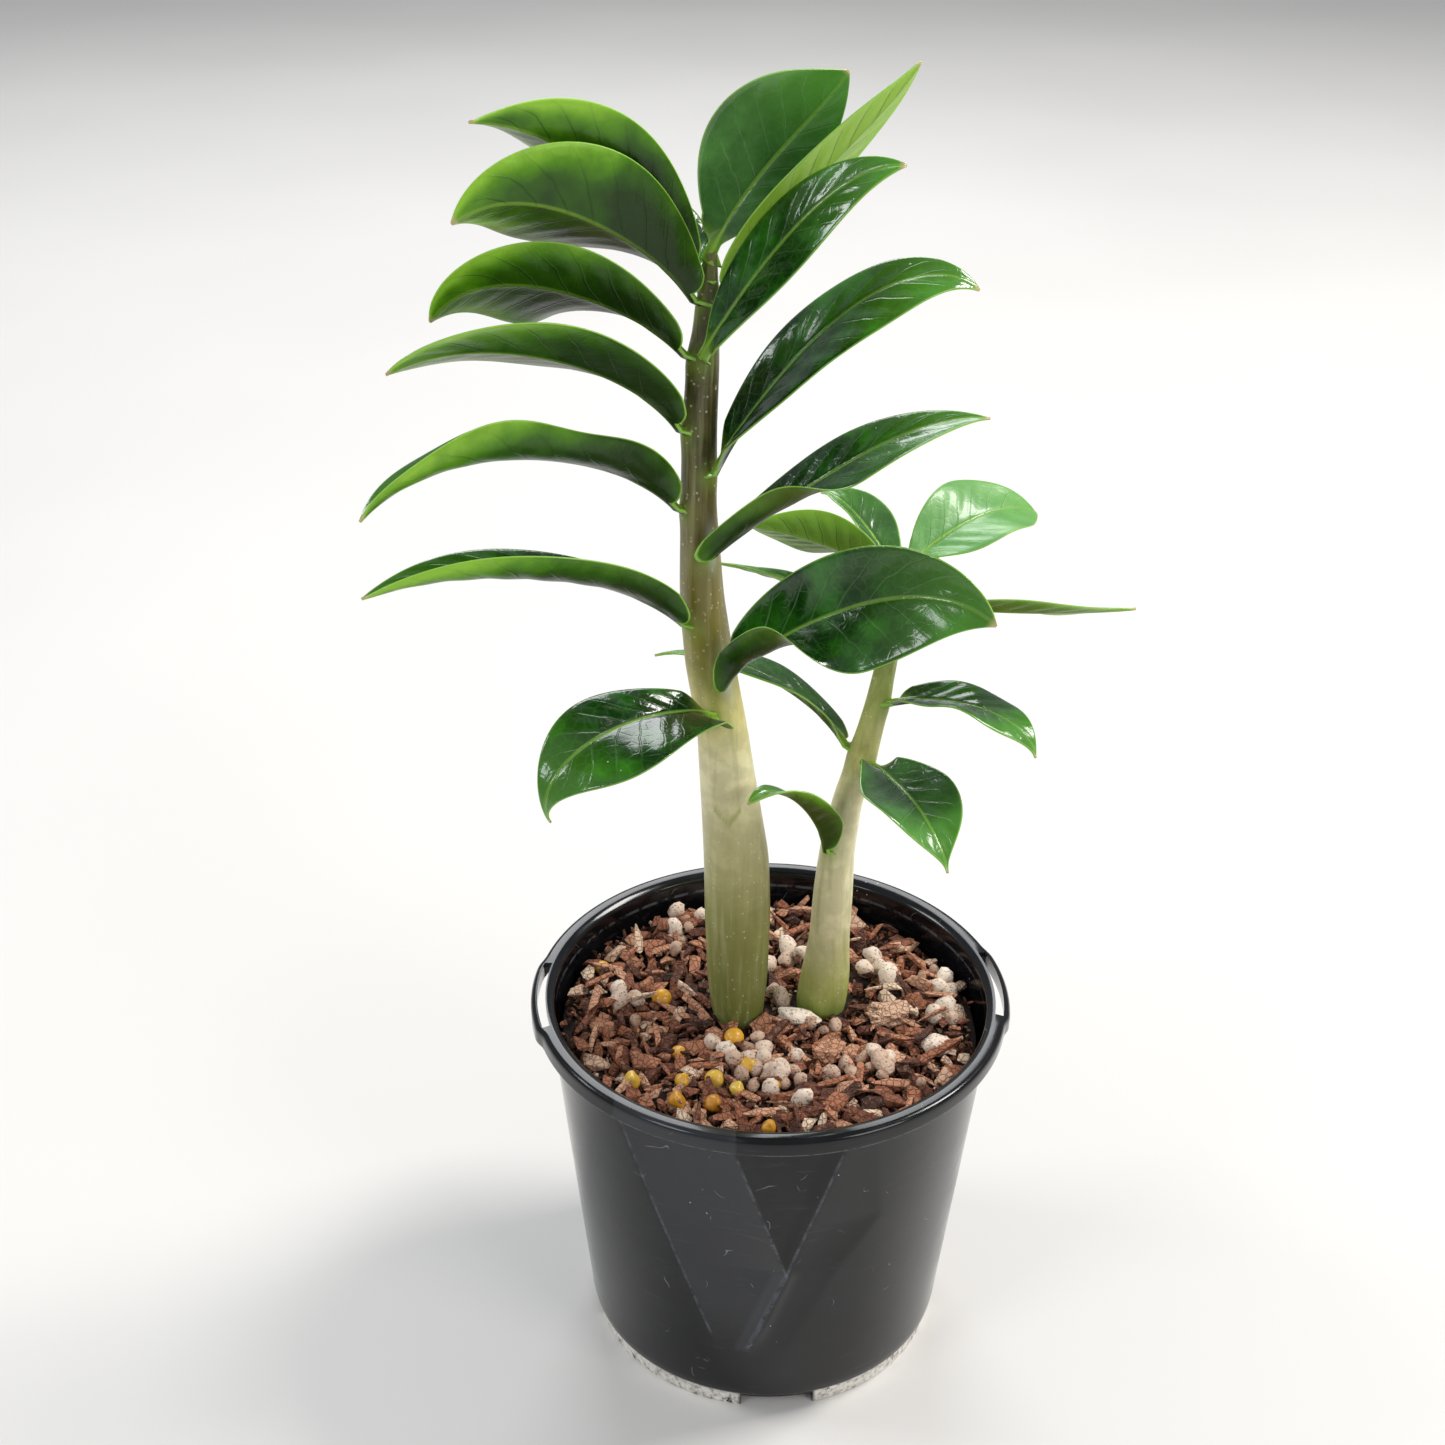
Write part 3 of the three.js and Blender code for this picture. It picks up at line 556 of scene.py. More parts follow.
def pale_floor():
    material, t = new_material("pale_floor")
    tone = t.cloud(t.place(), 400, 2)
    t.finish(t.ramp(tone, (0.3, "dedcd9"), (0.7, "e3e1de")), t.ease(tone, 0.3, 0.7, 0.6, 0.7))
    return material


# ---- meshes ----

def new_mesh(name, points, faces, attributes=None):
    """A closed mesh from points in millimetres, its faces turned outwards, its shading smooth."""
    mesh = bpy.data.meshes.new(name)
    mesh.from_pydata((np.asarray(points) * MM).tolist(), [], faces)
    for key, values in (attributes or {}).items():
        stored = mesh.attributes.new(key, "FLOAT", "POINT").data
        stored.foreach_set("value", np.asarray(values, np.float32).ravel())
    work = bmesh.new()
    work.from_mesh(mesh)
    bmesh.ops.recalc_face_normals(work, faces=work.faces)
    work.to_mesh(mesh)
    work.free()
    mesh.shade_smooth()
    return mesh


def new_piece(name, mesh, materials, nodes=()):
    """Puts a finished mesh in the scene as a piece that stands for CAD nodes."""
    made = bpy.data.objects.new(name, mesh)
    scene.collection.objects.link(made)
    if not mesh.materials:
        for material in materials:
            mesh.materials.append(material)
    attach(made, "root")
    if nodes:
        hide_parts(*nodes)
    return made


def tube_faces(rows, columns):
    """Quads over rows of points that close round on themselves, with a lid on each end."""
    faces = []
    for row in range(rows - 1):
        for column in range(columns):
            a, b = row * columns + column, row * columns + (column + 1) % columns
            faces.append((a, b, b + columns, a + columns))
    faces.append(tuple(range(columns)))
    faces.append(tuple((rows - 1) * columns + column for column in range(columns)))
    return faces


def smoothstep(value, low, high):
    share = np.clip((value - low) / (high - low), 0, 1)
    return share * share * (3 - 2 * share)


# ---- pot ----

def rounded(profile):
    """Points along an outline whose corners, [radius, height, rounding], are rounded."""
    points = []
    for (before, here, after) in zip([profile[0], *profile[:-1]], profile, [*profile[1:], profile[-1]]):
        corner, rounding = np.array(here[:2], float), here[2]
        if not rounding:
            points.append(corner)
            continue
        back, on = np.array(before[:2]) - corner, np.array(after[:2]) - corner
        start = corner + back / np.linalg.norm(back) * rounding
        end = corner + on / np.linalg.norm(on) * rounding
        for share in (0, 0.25, 0.5, 0.75, 1):
            points.append(start * (1 - share) ** 2 + corner * 2 * share * (1 - share) + end * share ** 2)
    return points


def stepped(points, longest):
    """The same outline with no stretch longer than the given length."""
    out = [points[0]]
    for here, there in zip(points[:-1], points[1:]):
        count = max(1, math.ceil(np.linalg.norm(there - here) / longest))
        out += [here + (there - here) * step / count for step in range(1, count + 1)]
    return out


def facet(x, radius, start, end):
    """How far a flat panel between two places across the wall lies inside the round wall."""
    a, b = np.arcsin(np.clip(start / radius, -1, 1)), np.arcsin(np.clip(end / radius, -1, 1))
    angle = np.arcsin(np.clip(x / radius, -1, 1))
    middle, half = (a + b) / 2, np.maximum((b - a) / 2, 1e-4)
    chord = radius * (1 - np.cos(half) / np.cos(angle - middle))
    return np.where((angle > a) & (angle < b), np.maximum(chord, 0), 0)


def buckle(x, y, height, radius):
    """How far the wall is pushed in at its front, where it creased and stayed bent."""
    crease = np.interp(height, [20, 27, 54, 89, 96], [-7, -14, -23, -35.5, -38])
    middle = np.interp(height, [22, 51, 90, 96], [-5.2, 4.2, -8.4, -10.3])
    right = np.interp(height, [22, 51, 90, 96], [-5.0, 4.4, 16.6, 18.5])
    edge = np.interp(height, [22, 51, 66, 90, 96], [4, 17, 27, 25, 24])
    left_panel = 1.15 * facet(x, radius, crease, middle)
    dart = facet(x, radius, middle, right)
    inside = np.minimum(x - middle, right - x)
    dart = dart + 0.7 * smoothstep(inside, 0, 4.5) * smoothstep(height, 51, 62)
    right_panel = 0.9 * facet(x, radius, right, edge)
    ridge = -0.6 * np.exp(-(((x - middle - 0.8) / 1.6) ** 2))
    ridge = ridge * smoothstep(height, 22, 32) * smoothstep(height, 60, 52)
    pushed = left_panel + dart + right_panel + ridge
    return pushed * smoothstep(height, 14, 24) * smoothstep(height, 96.5, 91) * (y < 0)


def pot_outline():
    """The pot's outline from the middle of its underside, round the lip, to the middle of its floor."""
    foot, mouth, rim = FOOT_RADIUS, MOUTH_RADIUS, RIM_RADIUS
    outside = rounded([
        [7, 0, 0], [7.6, 3.6, 0], [foot - 2.2, 3.6, 0], [foot - 1.8, 0, 0.3], [foot - 0.2, 0, 0.4],
        [foot, 4.2, 0.4], [foot + 1.2, 5.4, 0.5], [foot + 1.6, 7.5, 0.8], [mouth - 0.2, LIP_HEIGHT - 1, 0],
    ])
    lip = rounded([
        [mouth - 0.2, LIP_HEIGHT - 1, 0], [mouth + 0.4, POT_HEIGHT - 1.4, 0.5],
        [rim - 1.7, POT_HEIGHT - 1.4, 0.3], [rim - 1.5, LIP_HEIGHT, 0.2], [rim - 0.1, LIP_HEIGHT, 0.35],
        [rim, POT_HEIGHT - 0.6, 0.9], [rim - 1.0, POT_HEIGHT, 0.5], [mouth + 0.4, POT_HEIGHT, 0.8],
        [mouth - WALL, POT_HEIGHT - 1.2, 0.6], [mouth - WALL - 0.2, LIP_HEIGHT, 0],
    ])
    inside = rounded([
        [mouth - WALL - 0.2, LIP_HEIGHT, 0], [foot + 0.5, 7.8, 0], [foot - 0.8, FLOOR_TOP, 0],
        [0.4, FLOOR_TOP, 0],
    ])
    return [*stepped(outside, 1.3), *stepped(lip, 1.2)[1:], *stepped(inside, 4)[1:]]


def wedge(inner, outer, azimuth, half_angle, bottom, top):
    """Points and faces of an arc-shaped block, for cutting."""
    steps = 10
    points, faces = [], []
    for step in range(steps + 1):
        turn = math.radians(azimuth + half_angle * (2 * step / steps - 1))
        for radius, height in ((inner, bottom), (outer, bottom), (outer, top), (inner, top)):
            points.append((radius * math.cos(turn), radius * math.sin(turn), height))
    for step in range(steps):
        for corner in range(4):
            a, b = step * 4 + corner, step * 4 + (corner + 1) % 4
            faces.append((a, b, b + 4, a + 4))
    faces += [(3, 2, 1, 0), tuple(steps * 4 + corner for corner in range(4))]
    return points, faces


def drill(radius, x, y, bottom, top, sides=28):
    turns = [2 * math.pi * side / sides for side in range(sides)]
    points = [(x + radius * math.cos(a), y + radius * math.sin(a), z) for z in (bottom, top) for a in turns]
    return points, tube_faces(2, sides)


def cut_away(mesh, blocks):
    """Cuts the blocks out of a mesh."""
    points, faces = [], []
    for block_points, block_faces in blocks:
        faces += [tuple(index + len(points) for index in face) for face in block_faces]
        points += block_points
    tool = bpy.data.objects.new("cutter", new_mesh("cutter", points, faces))
    body = bpy.data.objects.new("body", mesh)
    for made in (tool, body):
        scene.collection.objects.link(made)
    cut = body.modifiers.new("cut", "BOOLEAN")
    cut.operation, cut.solver, cut.object = "DIFFERENCE", "EXACT", tool
    result = bpy.data.meshes.new_from_object(body.evaluated_get(bpy.context.evaluated_depsgraph_get()))
    for made in (tool, body):
        bpy.data.objects.remove(made)
    return result


def pot():
    outline = np.array(pot_outline())
    rows, columns = len(outline), POT_SEGMENTS
    turn = np.arange(columns) * 2 * math.pi / columns
    radius = np.repeat(outline[:, 0][:, None], columns, 1)
    height = np.repeat(outline[:, 1][:, None], columns, 1)
    angle = np.repeat(turn[None, :], rows, 0)
    wall = (height > 10) & (height < 97) & (radius > 44) & (radius < 57)
    inset = buckle(radius * np.cos(angle), radius * np.sin(angle), height, radius)
    sway = 0.25 * np.sin(2 * angle + 0.6) + 0.15 * np.sin(5 * angle + 1.1)
    radius = radius - np.where(wall, inset, 0)
    radius = radius + sway * smoothstep(height, 10, 60) * smoothstep(height, 99, 90)
    for azimuth in LOOP_ANGLES:
        off = np.abs((np.degrees(angle) - azimuth + 180) % 360 - 180)
        strap = smoothstep(off, LOOP_HALF_ANGLE + 2, LOOP_HALF_ANGLE - 3)
        radius = radius + np.where((radius > 57.5) & (height > 94), strap * 0.95, 0)
        height = height - np.where((radius > 57.5) & (height > 94), strap * 0.4, 0)
    points = np.stack([radius * np.cos(angle), radius * np.sin(angle), height], -1).reshape(-1, 3)
    mesh = new_mesh("pot_shell", points, tube_faces(rows, columns))
    blocks = [wedge(FOOT_RADIUS - 3, FOOT_RADIUS + 2, at, NOTCH_HALF_ANGLE, -1, 3.6) for at in NOTCH_ANGLES]
    blocks += [wedge(SLOT_INNER, SLOT_OUTER, at, LOOP_HALF_ANGLE - 1.5, LIP_HEIGHT - 2, POT_HEIGHT + 1)
               for at in LOOP_ANGLES]
    for hole in range(6):
        turned = math.radians(60 * hole)
        blocks.append(drill(DRAIN_RADIUS, DRAIN_RING * math.cos(turned), DRAIN_RING * math.sin(turned), 2, 8))
    mesh = cut_away(mesh, blocks)
    mesh.shade_smooth()
    mesh.set_sharp_from_angle(angle=math.radians(38))
    return new_piece("pot_shell", mesh, [black_plastic()], ["pot"])


# ---- stalks ----

def stalk_line(stops, heights):
    """The stalk's centre and radius at each height, rounded off between the stops."""
    fine = np.arange(stops[0][2], stops[-1][2] + 0.5, 0.5)
    window = np.hanning(27)
    window /= window.sum()
    columns = []
    for part in (0, 1, 3):
        straight = np.interp(fine, [stop[2] for stop in stops], [stop[part] for stop in stops])
        padded = np.pad(straight, 13, mode="reflect", reflect_type="odd")
        columns.append(np.interp(heights, fine, np.convolve(padded, window, "valid")))
    return columns


def stalk(name, material):
    stops = STALKS[name]
    top = stops[-1][2]
    heights = np.arange(stops[0][2], top + 0.01, 0.6)
    x, y, radius = stalk_line(stops, heights)
    turn = np.arange(STALK_SIDES) * 2 * math.pi / STALK_SIDES
    angle, height = np.meshgrid(turn, heights)
    reach = np.repeat(radius[:, None], STALK_SIDES, 1)
    node = np.zeros_like(reach)
    for leaf in LEAFLETS[name]:
        if leaf["foot"] is None:
            continue
        off = np.abs((np.degrees(angle) - leaf["foot"] + 180) % 360 - 180) / 45
        near = np.exp(-off ** 2 - ((height - leaf["height"] + 1.5) / 3.5) ** 2)
        node = np.maximum(node, near)
    reach = reach + 0.45 * node + 0.12 * np.sin(3 * angle + height / 17)
    reach = reach + 0.1 * np.sin(5 * angle - height / 11)
    scar, sheath = np.zeros_like(reach), np.zeros_like(reach)
    if name == "main":
        off = ((np.degrees(angle) - 265 + 180) % 360 - 180) * math.pi / 180 * radius[:, None]
        foot_line = 150 + np.abs(off) * 1.1
        strip = smoothstep(np.abs(off), 3.4, 2.6) * smoothstep(height, foot_line - 0.4, foot_line + 0.4)
        strip = strip * smoothstep(height, 192, 176)
        lip = np.exp(-(((height - foot_line) / 0.7) ** 2)) * (np.abs(off) < 3.4)
        sides = np.exp(-(((np.abs(off) - 3.2) / 0.35) ** 2)) * (height > 153) * smoothstep(height, 190, 165)
        reach = reach - 0.25 * strip + 0.2 * lip
        scar = np.clip(lip * 0.5 + sides * 0.15 + strip * 0.06, 0, 1)
        right = np.exp(-(((np.degrees(angle) - 305) / 16) ** 2))
        sheath = right * np.exp(-(((height - 190) / 6) ** 2)) + right * np.exp(-(((height - 222) / 5) ** 2))
    dome = np.array([[0.93, 0.5], [0.75, 0.95], [0.45, 1.25], [0.12, 1.35]])
    points = np.stack([x[:, None] + reach * np.cos(angle), y[:, None] + reach * np.sin(angle), height], -1)
    middle = np.array([x[-1], y[-1], top])
    caps = [middle + (points[-1] - middle) * [shrink, shrink, 0] + [0, 0, rise * radius[-1] * 0.7]
            for shrink, rise in dome]
    points = np.concatenate([points, np.array(caps)])
    spare = np.zeros((len(dome), STALK_SIDES))
    values = {key: np.concatenate([value, spare]) for key, value in
              (("node", node), ("scar", scar), ("sheath", sheath))}
    mesh = new_mesh(f"stalk_{name}_skin", points.reshape(-1, 3), tube_faces(len(points), STALK_SIDES), values)
    return new_piece(f"stalk_{name}_skin", mesh, [material], [f"stalk_{name}"])


# ---- leaflets ----

INWARD = np.linspace(0, 1, 15)[1:-1] ** 1.25
ACROSS = np.concatenate([[1, 0.985], INWARD[::-1], [0], -INWARD, [-0.985, -1]])


def bearing(leaf, share):
    """A leaflet's frame at a share of its length, headed along +X."""
    rise = math.radians(leaf["rise"] - leaf["droop"] * share ** 0.6 - leaf["hook"] * share ** 5)
    turn = math.radians(leaf["sweep"] * share)
    tilt = math.radians(leaf["roll"] + leaf["twist"] * (1 - math.exp(-share / 0.25)))
    flat = np.array([-math.sin(turn), math.cos(turn), 0])
    ahead = np.array([math.cos(turn) * math.cos(rise), math.sin(turn) * math.cos(rise), math.sin(rise)])
    left = flat * math.cos(tilt) + np.cross(ahead, flat) * math.sin(tilt)
    return ahead, left, np.cross(ahead, left)


def arc(slope, bend, out):
    """Where a half-blade's section is, a share out from the midrib: it leaves at a slope and bends."""
    bend = np.maximum(bend, 0.001)
    end = slope + bend * out
    return (np.sin(end) - np.sin(slope)) / bend, (np.cos(slope) - np.cos(end)) / bend, end


def blade_ring(leaf, share, middle, waves):
    """One closed section of a leaflet: its upper face from left to right, then its underside."""
    ahead, left, up = bearing(leaf, share)
    along = max(0.0, (share - PETIOLE_SHARE) / (1 - PETIOLE_SHARE))
    width = max(0.0, math.sin(math.pi * along)) ** (leaf["taper"] * (1 - along) + leaf["tip"] * along)
    out, on_left, side = np.abs(ACROSS), ACROSS > 0, np.sign(ACROSS)
    half = np.where(on_left, leaf["left"], leaf["right"])
    lobe = np.where(on_left, leaf["lobe_left"], leaf["lobe_right"])
    reach = np.hypot(half * width, PETIOLE_HALF_WIDTH * (1 - share) + 0.3)
    opened = min(1, 10 * along)
    slope = math.radians(6 + leaf["fold"] * math.exp(-along / 0.15)) * opened
    curl = leaf["curl"] * math.exp(-((along / 0.42) ** 6))
    bend = np.radians(np.where(on_left, leaf["cup_left"], leaf["cup_right"] + curl)) * opened
    bow_across, bow_up, end = arc(slope, bend, out)
    back = lobe * math.exp(-((along / 0.16) ** 2)) * min(1, 3 * width) * out ** 1.5
    wave = leaf["wave"] * out ** 2 * width * np.sin(4 * math.pi * along + np.where(on_left, 0, 1.3))
    sheet = middle + np.outer(side * reach * bow_across, left) + np.outer(reach * bow_up + wave, up)
    sheet = sheet - np.outer(back, ahead)
    from_rib = out * reach
    lean = end * (1 - np.exp(-from_rib / 0.7))
    normal = np.outer(np.cos(lean), up) - np.outer(side * np.sin(lean), left)
    phase = VEIN_PAIRS * (share - 0.2 * out ** 0.85) + 0.5 * on_left + 0.25
    lift = 0.13 * width * np.sin(math.pi * out) * np.cos(2 * math.pi * phase) - 0.5 * width * out ** 7
    for size, rate, across_rate, start in waves:
        lift += size * leaf["ripple"] * width * out * np.sin(rate * along + across_rate * ACROSS + start)
    groove = 0.3 * math.sqrt(1 - share) * np.exp(-((from_rib / 0.6) ** 2)) * min(1, along * 8)
    blade = (0.34 - 0.16 * out) * np.where(out > 0.99, 0, 1)
    stem = 0.95 * max(0, 1 - 4 * along) * np.exp(-((from_rib / 1.25) ** 2))
    keel = 0.42 * math.sqrt(1 - share) * np.exp(-((from_rib / 0.75) ** 2)) * min(1, along * 8)
    over = sheet + normal * (lift + np.maximum(blade, stem) - groove)[:, None]
    under = sheet + normal * (lift - np.maximum(blade, stem) - keel * (out < 0.99))[:, None]
    points = np.concatenate([over, under[1:-1][::-1]])
    return points, np.concatenate([reach, reach[1:-1][::-1]])


def leaflet(stalk_name, values, materials, seed):
    leaf = {**PLAIN, **values}
    rng = random.Random(seed)
    waves = [(rng.uniform(0.25, 0.7), rng.uniform(4, 11), rng.uniform(0.3, 1.2), rng.uniform(0, 6.3))
             for _ in range(3)]
    if leaf["foot"] is None:
        x, y, _ = (float(part[0]) for part in stalk_line(STALKS[stalk_name], [leaf["height"]]))
        base = np.array([x, y, leaf["height"] + 1.25])
        core = np.array([x, y, leaf["height"] - 1.5])
    else:
        stops = np.array(STALKS[stalk_name], float)
        x, y, radius = (np.interp(leaf["height"], stops[:, 2], stops[:, part]) for part in (0, 1, 3))
        out = np.array([math.cos(math.radians(leaf["foot"])), math.sin(math.radians(leaf["foot"])), 0])
        base = np.array([x, y, leaf["height"]]) + out * (radius + FOOT_OUT)
        core = base - out * FOOT_SINK - np.array([0, 0, 1.2])
    heading = math.radians(leaf["heading"])
    cosine, sine = math.cos(heading), math.sin(heading)
    turn = np.array([[cosine, -sine, 0], [sine, cosine, 0], [0, 0, 1]])
    middle = np.zeros(3)
    rings, reaches, shares = [], [], []
    for step in range(BLADE_ROWS + 1):
        points, reach = blade_ring(leaf, step / BLADE_ROWS, middle, waves)
        rings.append(points @ turn.T + base)
        reaches.append(reach)
        shares.append(step / BLADE_ROWS)
        middle = middle + bearing(leaf, (step + 0.5) / BLADE_ROWS)[0] * leaf["length"] / BLADE_ROWS
    for step in range(1, FOOT_ROWS + 1):
        share = step / FOOT_ROWS
        rings.insert(0, base + (rings[step - 1] - base) * (1 + 0.8 * share) + (core - base) * share)
        reaches.insert(0, reaches[0])
        shares.insert(0, 0)
    return leaflet_piece(stalk_name, leaf, rings, reaches, shares, materials)


def leaflet_piece(stalk_name, leaf, rings, reaches, shares, materials):
    columns = len(rings[0])
    across = np.concatenate([ACROSS, ACROSS[1:-1][::-1]])
    faces = tube_faces(len(rings), columns)
    name = f"leaflet_{stalk_name}_{leaf['name']}"
    mesh = new_mesh(f"{name}_blade", np.concatenate(rings), faces, {
        "along": np.repeat(shares, columns), "across": np.tile(across, len(rings)),
        "half_width": np.concatenate(reaches), "tone": np.full(len(rings) * columns, leaf["tone"])})
    for material in materials:
        mesh.materials.append(material)
    last_top = len(ACROSS) - 1
    for polygon in mesh.polygons:
        places = [vertex % columns for vertex in polygon.vertices]
        polygon.material_index = int(max(places) > last_top or (0 in places and columns - 1 in places))
    uv = mesh.uv_layers.new(name="blade")
    shares_of = np.repeat(shares, columns)
    across_of = np.tile(across, len(rings))
    for loop in mesh.loops:
        uv.data[loop.index].uv = (shares_of[loop.vertex_index], across_of[loop.vertex_index] / 2 + 0.5)
    return new_piece(f"{name}_blade", mesh, materials, [name])


# ---- potting mix ----

def mix_reach(x, y):
    """How far out the mix goes in a direction: less at the front, where the wall is pushed in."""
    off = math.degrees(math.atan2(y, x)) + 98
    return MIX_RADIUS - 3.4 * math.exp(-((off / 36) ** 4))


def mix_bed(material):
    """The damp body of the mix, its top uneven and heaped towards the wall."""
    turn = np.arange(MIX_SIDES) * 2 * math.pi / MIX_SIDES
    points = []
    for share in [0.0004, *np.linspace(0.03, 1, 44)]:
        for a in turn:
            reach = share * mix_reach(math.cos(a), math.sin(a))
            x, y = reach * math.cos(a), reach * math.sin(a)
            bump = 1.3 * noise.fractal(Vector((x / 9, y / 9, 3.0)), 0.8, 2.1, 4)
            points.append((x, y, MIX_TOP + min(2.3, mound(x, y) - 0.9 + max(-1.6, min(1.0, bump)))))
    sides = ((1, 82), (5, 60), (MIX_RADIUS - FOOT_RADIUS + 1.8, 10), (MIX_RADIUS - 41, MIX_BOTTOM))
    for inset, height in sides:
        points += [((mix_reach(math.cos(a), math.sin(a)) - inset) * math.cos(a),
                    (mix_reach(math.cos(a), math.sin(a)) - inset) * math.sin(a), height) for a in turn]
    points += [(0.02 * math.cos(a), 0.02 * math.sin(a), MIX_BOTTOM) for a in turn]
    mesh = new_mesh("mix_bed", points, tube_faces(len(points) // MIX_SIDES, MIX_SIDES))
    return new_piece("mix_bed", mesh, [material], ["potting_mix"])


def chip(seed, size, corners=13):
    """One broken flake: the skin over a few random corners."""
    rng = random.Random(seed)
    work = bmesh.new()
    for _ in range(corners):
        spot = Vector([rng.uniform(-1, 1) for _ in range(3)])
        spot = spot / max(abs(spot.x), abs(spot.y), abs(spot.z)) * rng.uniform(0.75, 1)
        work.verts.new([spot[axis] * size[axis] / 2 * MM for axis in range(3)])
    made = bmesh.ops.convex_hull(work, input=work.verts)
    inside = [part for part in made["geom_interior"] if isinstance(part, bmesh.types.BMVert)]
    bmesh.ops.delete(work, geom=inside, context="VERTS")
    bmesh.ops.recalc_face_normals(work, faces=work.faces)
    mesh = bpy.data.meshes.new(f"chip_{seed}")
    work.to_mesh(mesh)
    work.free()
    return mesh


def grain(seed, size, level=2):
    """One rounded grain, knocked about."""
    work = bmesh.new()
    bmesh.ops.create_icosphere(work, subdivisions=level, radius=0.5)
    for vertex in work.verts:
        dent = noise.noise(vertex.co * 2.3 + Vector((seed * 7.1, 3, 1))) * 0.35
        vertex.co = Vector([vertex.co[axis] * (1 + dent) * size[axis] * MM for axis in range(3)])
    mesh = bpy.data.meshes.new(f"grain_{seed}")
    work.to_mesh(mesh)
    work.free()
    mesh.shade_smooth()
    return mesh


def scatter_tree(shapes, material):
    """Strews shapes over a surface. Its inputs are the spacing, the sizes and how far they tip."""
    tree = bpy.data.node_groups.new("strewn", "GeometryNodeTree")
    face = tree.interface
    face.new_socket("Geometry", in_out="INPUT", socket_type="NodeSocketGeometry")
    names = ("Spacing", "Smallest", "Largest", "Tip", "Lift", "Seed")
    for name in names:
        kind = "NodeSocketInt" if name == "Seed" else "NodeSocketFloat"
        face.new_socket(name, in_out="INPUT", socket_type=kind)
    face.new_socket("Geometry", in_out="OUTPUT", socket_type="NodeSocketGeometry")
    t = Tree(tree)
    start = t.node("NodeGroupInput")
    given = {name: Value(t, start.socket.node.outputs[name]) for name in ("Geometry", *names)}
    share = t.node("GeometryNodeInputNamedAttribute", {"data_type": "FLOAT"}, {"Name": "share"})
    points = t.node("GeometryNodeDistributePointsOnFaces", {"distribute_method": "POISSON"}, {
        "Mesh": given["Geometry"], "Distance Min": given["Spacing"], "Density Max": 900000.0,
        "Density Factor": share, "Seed": given["Seed"]})
    height = t.node("FunctionNodeRandomValue", {"data_type": "FLOAT"},
                    {2: 0.0, 3: given["Lift"], "Seed": given["Seed"]}, output=1)
    offset = t.node("ShaderNodeCombineXYZ", inputs={2: height})
    raised = t.node("GeometryNodeSetPosition", inputs={"Geometry": points, "Offset": offset})
    tip = given["Tip"]
    lowest = t.node("ShaderNodeCombineXYZ", inputs={0: tip * -1, 1: tip * -1, 2: 0.0})
    highest = t.node("ShaderNodeCombineXYZ", inputs={0: tip, 1: tip, 2: 2 * math.pi})
    turned = t.node("FunctionNodeRandomValue", {"data_type": "FLOAT_VECTOR"},
                    {0: lowest, 1: highest, "Seed": given["Seed"]})
    sized = t.node("FunctionNodeRandomValue", {"data_type": "FLOAT"},
                   {2: given["Smallest"], 3: given["Largest"], "Seed": given["Seed"] + 5}, output=1)
    source = t.node("GeometryNodeCollectionInfo", inputs={
        "Collection": shapes, "Separate Children": True, "Reset Children": True})
    placed = t.node("GeometryNodeInstanceOnPoints", inputs={
        "Points": raised, "Instance": source, "Pick Instance": True, "Rotation": turned, "Scale": sized})
    tint = t.node("FunctionNodeRandomValue", {"data_type": "FLOAT"}, {2: 0.0, 3: 1.0, "Seed": 9}, output=1)
    tinted = t.node("GeometryNodeStoreNamedAttribute", {"data_type": "FLOAT", "domain": "INSTANCE"},
                    {"Geometry": placed, "Name": "tint", "Value": tint})
    real = t.node("GeometryNodeRealizeInstances", inputs={"Geometry": tinted})
    dressed = t.node("GeometryNodeSetMaterial", inputs={"Geometry": real, "Material": material})
    t.node("NodeGroupOutput", inputs={"Geometry": dressed})
    return tree


def strew(name, material, shapes, share, spacing, sizes, tip, lift, level, seed):
    """A piece made of many copies of the shapes, strewn over the mix where share says."""
    box = bpy.data.collections.new(f"{name}_shapes")
    scene.collection.children.link(box)
    for mesh in shapes:
        box.objects.link(bpy.data.objects.new(mesh.name, mesh))
    steps = 60
    spots = [(2 * MIX_RADIUS * (column / steps - 0.5), 2 * MIX_RADIUS * (row / steps - 0.5))
             for row in range(steps + 1) for column in range(steps + 1)]
    faces = [(row * (steps + 1) + column, row * (steps + 1) + column + 1,
              (row + 1) * (steps + 1) + column + 1, (row + 1) * (steps + 1) + column)
             for row in range(steps) for column in range(steps)]
    ground = bpy.data.meshes.new("ground")
    ground.from_pydata([(x * MM, y * MM, (level + mound(x, y)) * MM) for x, y in spots], [], faces)
    stored = ground.attributes.new("share", "FLOAT", "POINT").data
    stored.foreach_set("value", [share(x, y) for x, y in spots])
    carrier = bpy.data.objects.new(f"{name}_ground", ground)
    scene.collection.objects.link(carrier)
    modifier = carrier.modifiers.new("strewn", "NODES")
    modifier.node_group = scatter_tree(box, material)
    settings = {"Spacing": spacing * MM, "Smallest": sizes[0], "Largest": sizes[1], "Tip": tip,
                "Lift": lift * MM, "Seed": seed}
    for socket in modifier.node_group.interface.items_tree:
        if socket.name in settings and socket.in_out == "INPUT":
            modifier[socket.identifier] = settings[socket.name]
    carrier.update_tag()
    bpy.context.view_layer.update()
    mesh = bpy.data.meshes.new_from_object(carrier.evaluated_get(bpy.context.evaluated_depsgraph_get()))
    mesh.name = name
    # The shapes wear nothing, which leaves an empty slot before their finish. new_piece gives it back.
    mesh.materials.clear()
    bpy.data.objects.remove(carrier)
    for made in list(box.objects):
        bpy.data.objects.remove(made)
    bpy.data.collections.remove(box)
    return new_piece(name, mesh, [material])


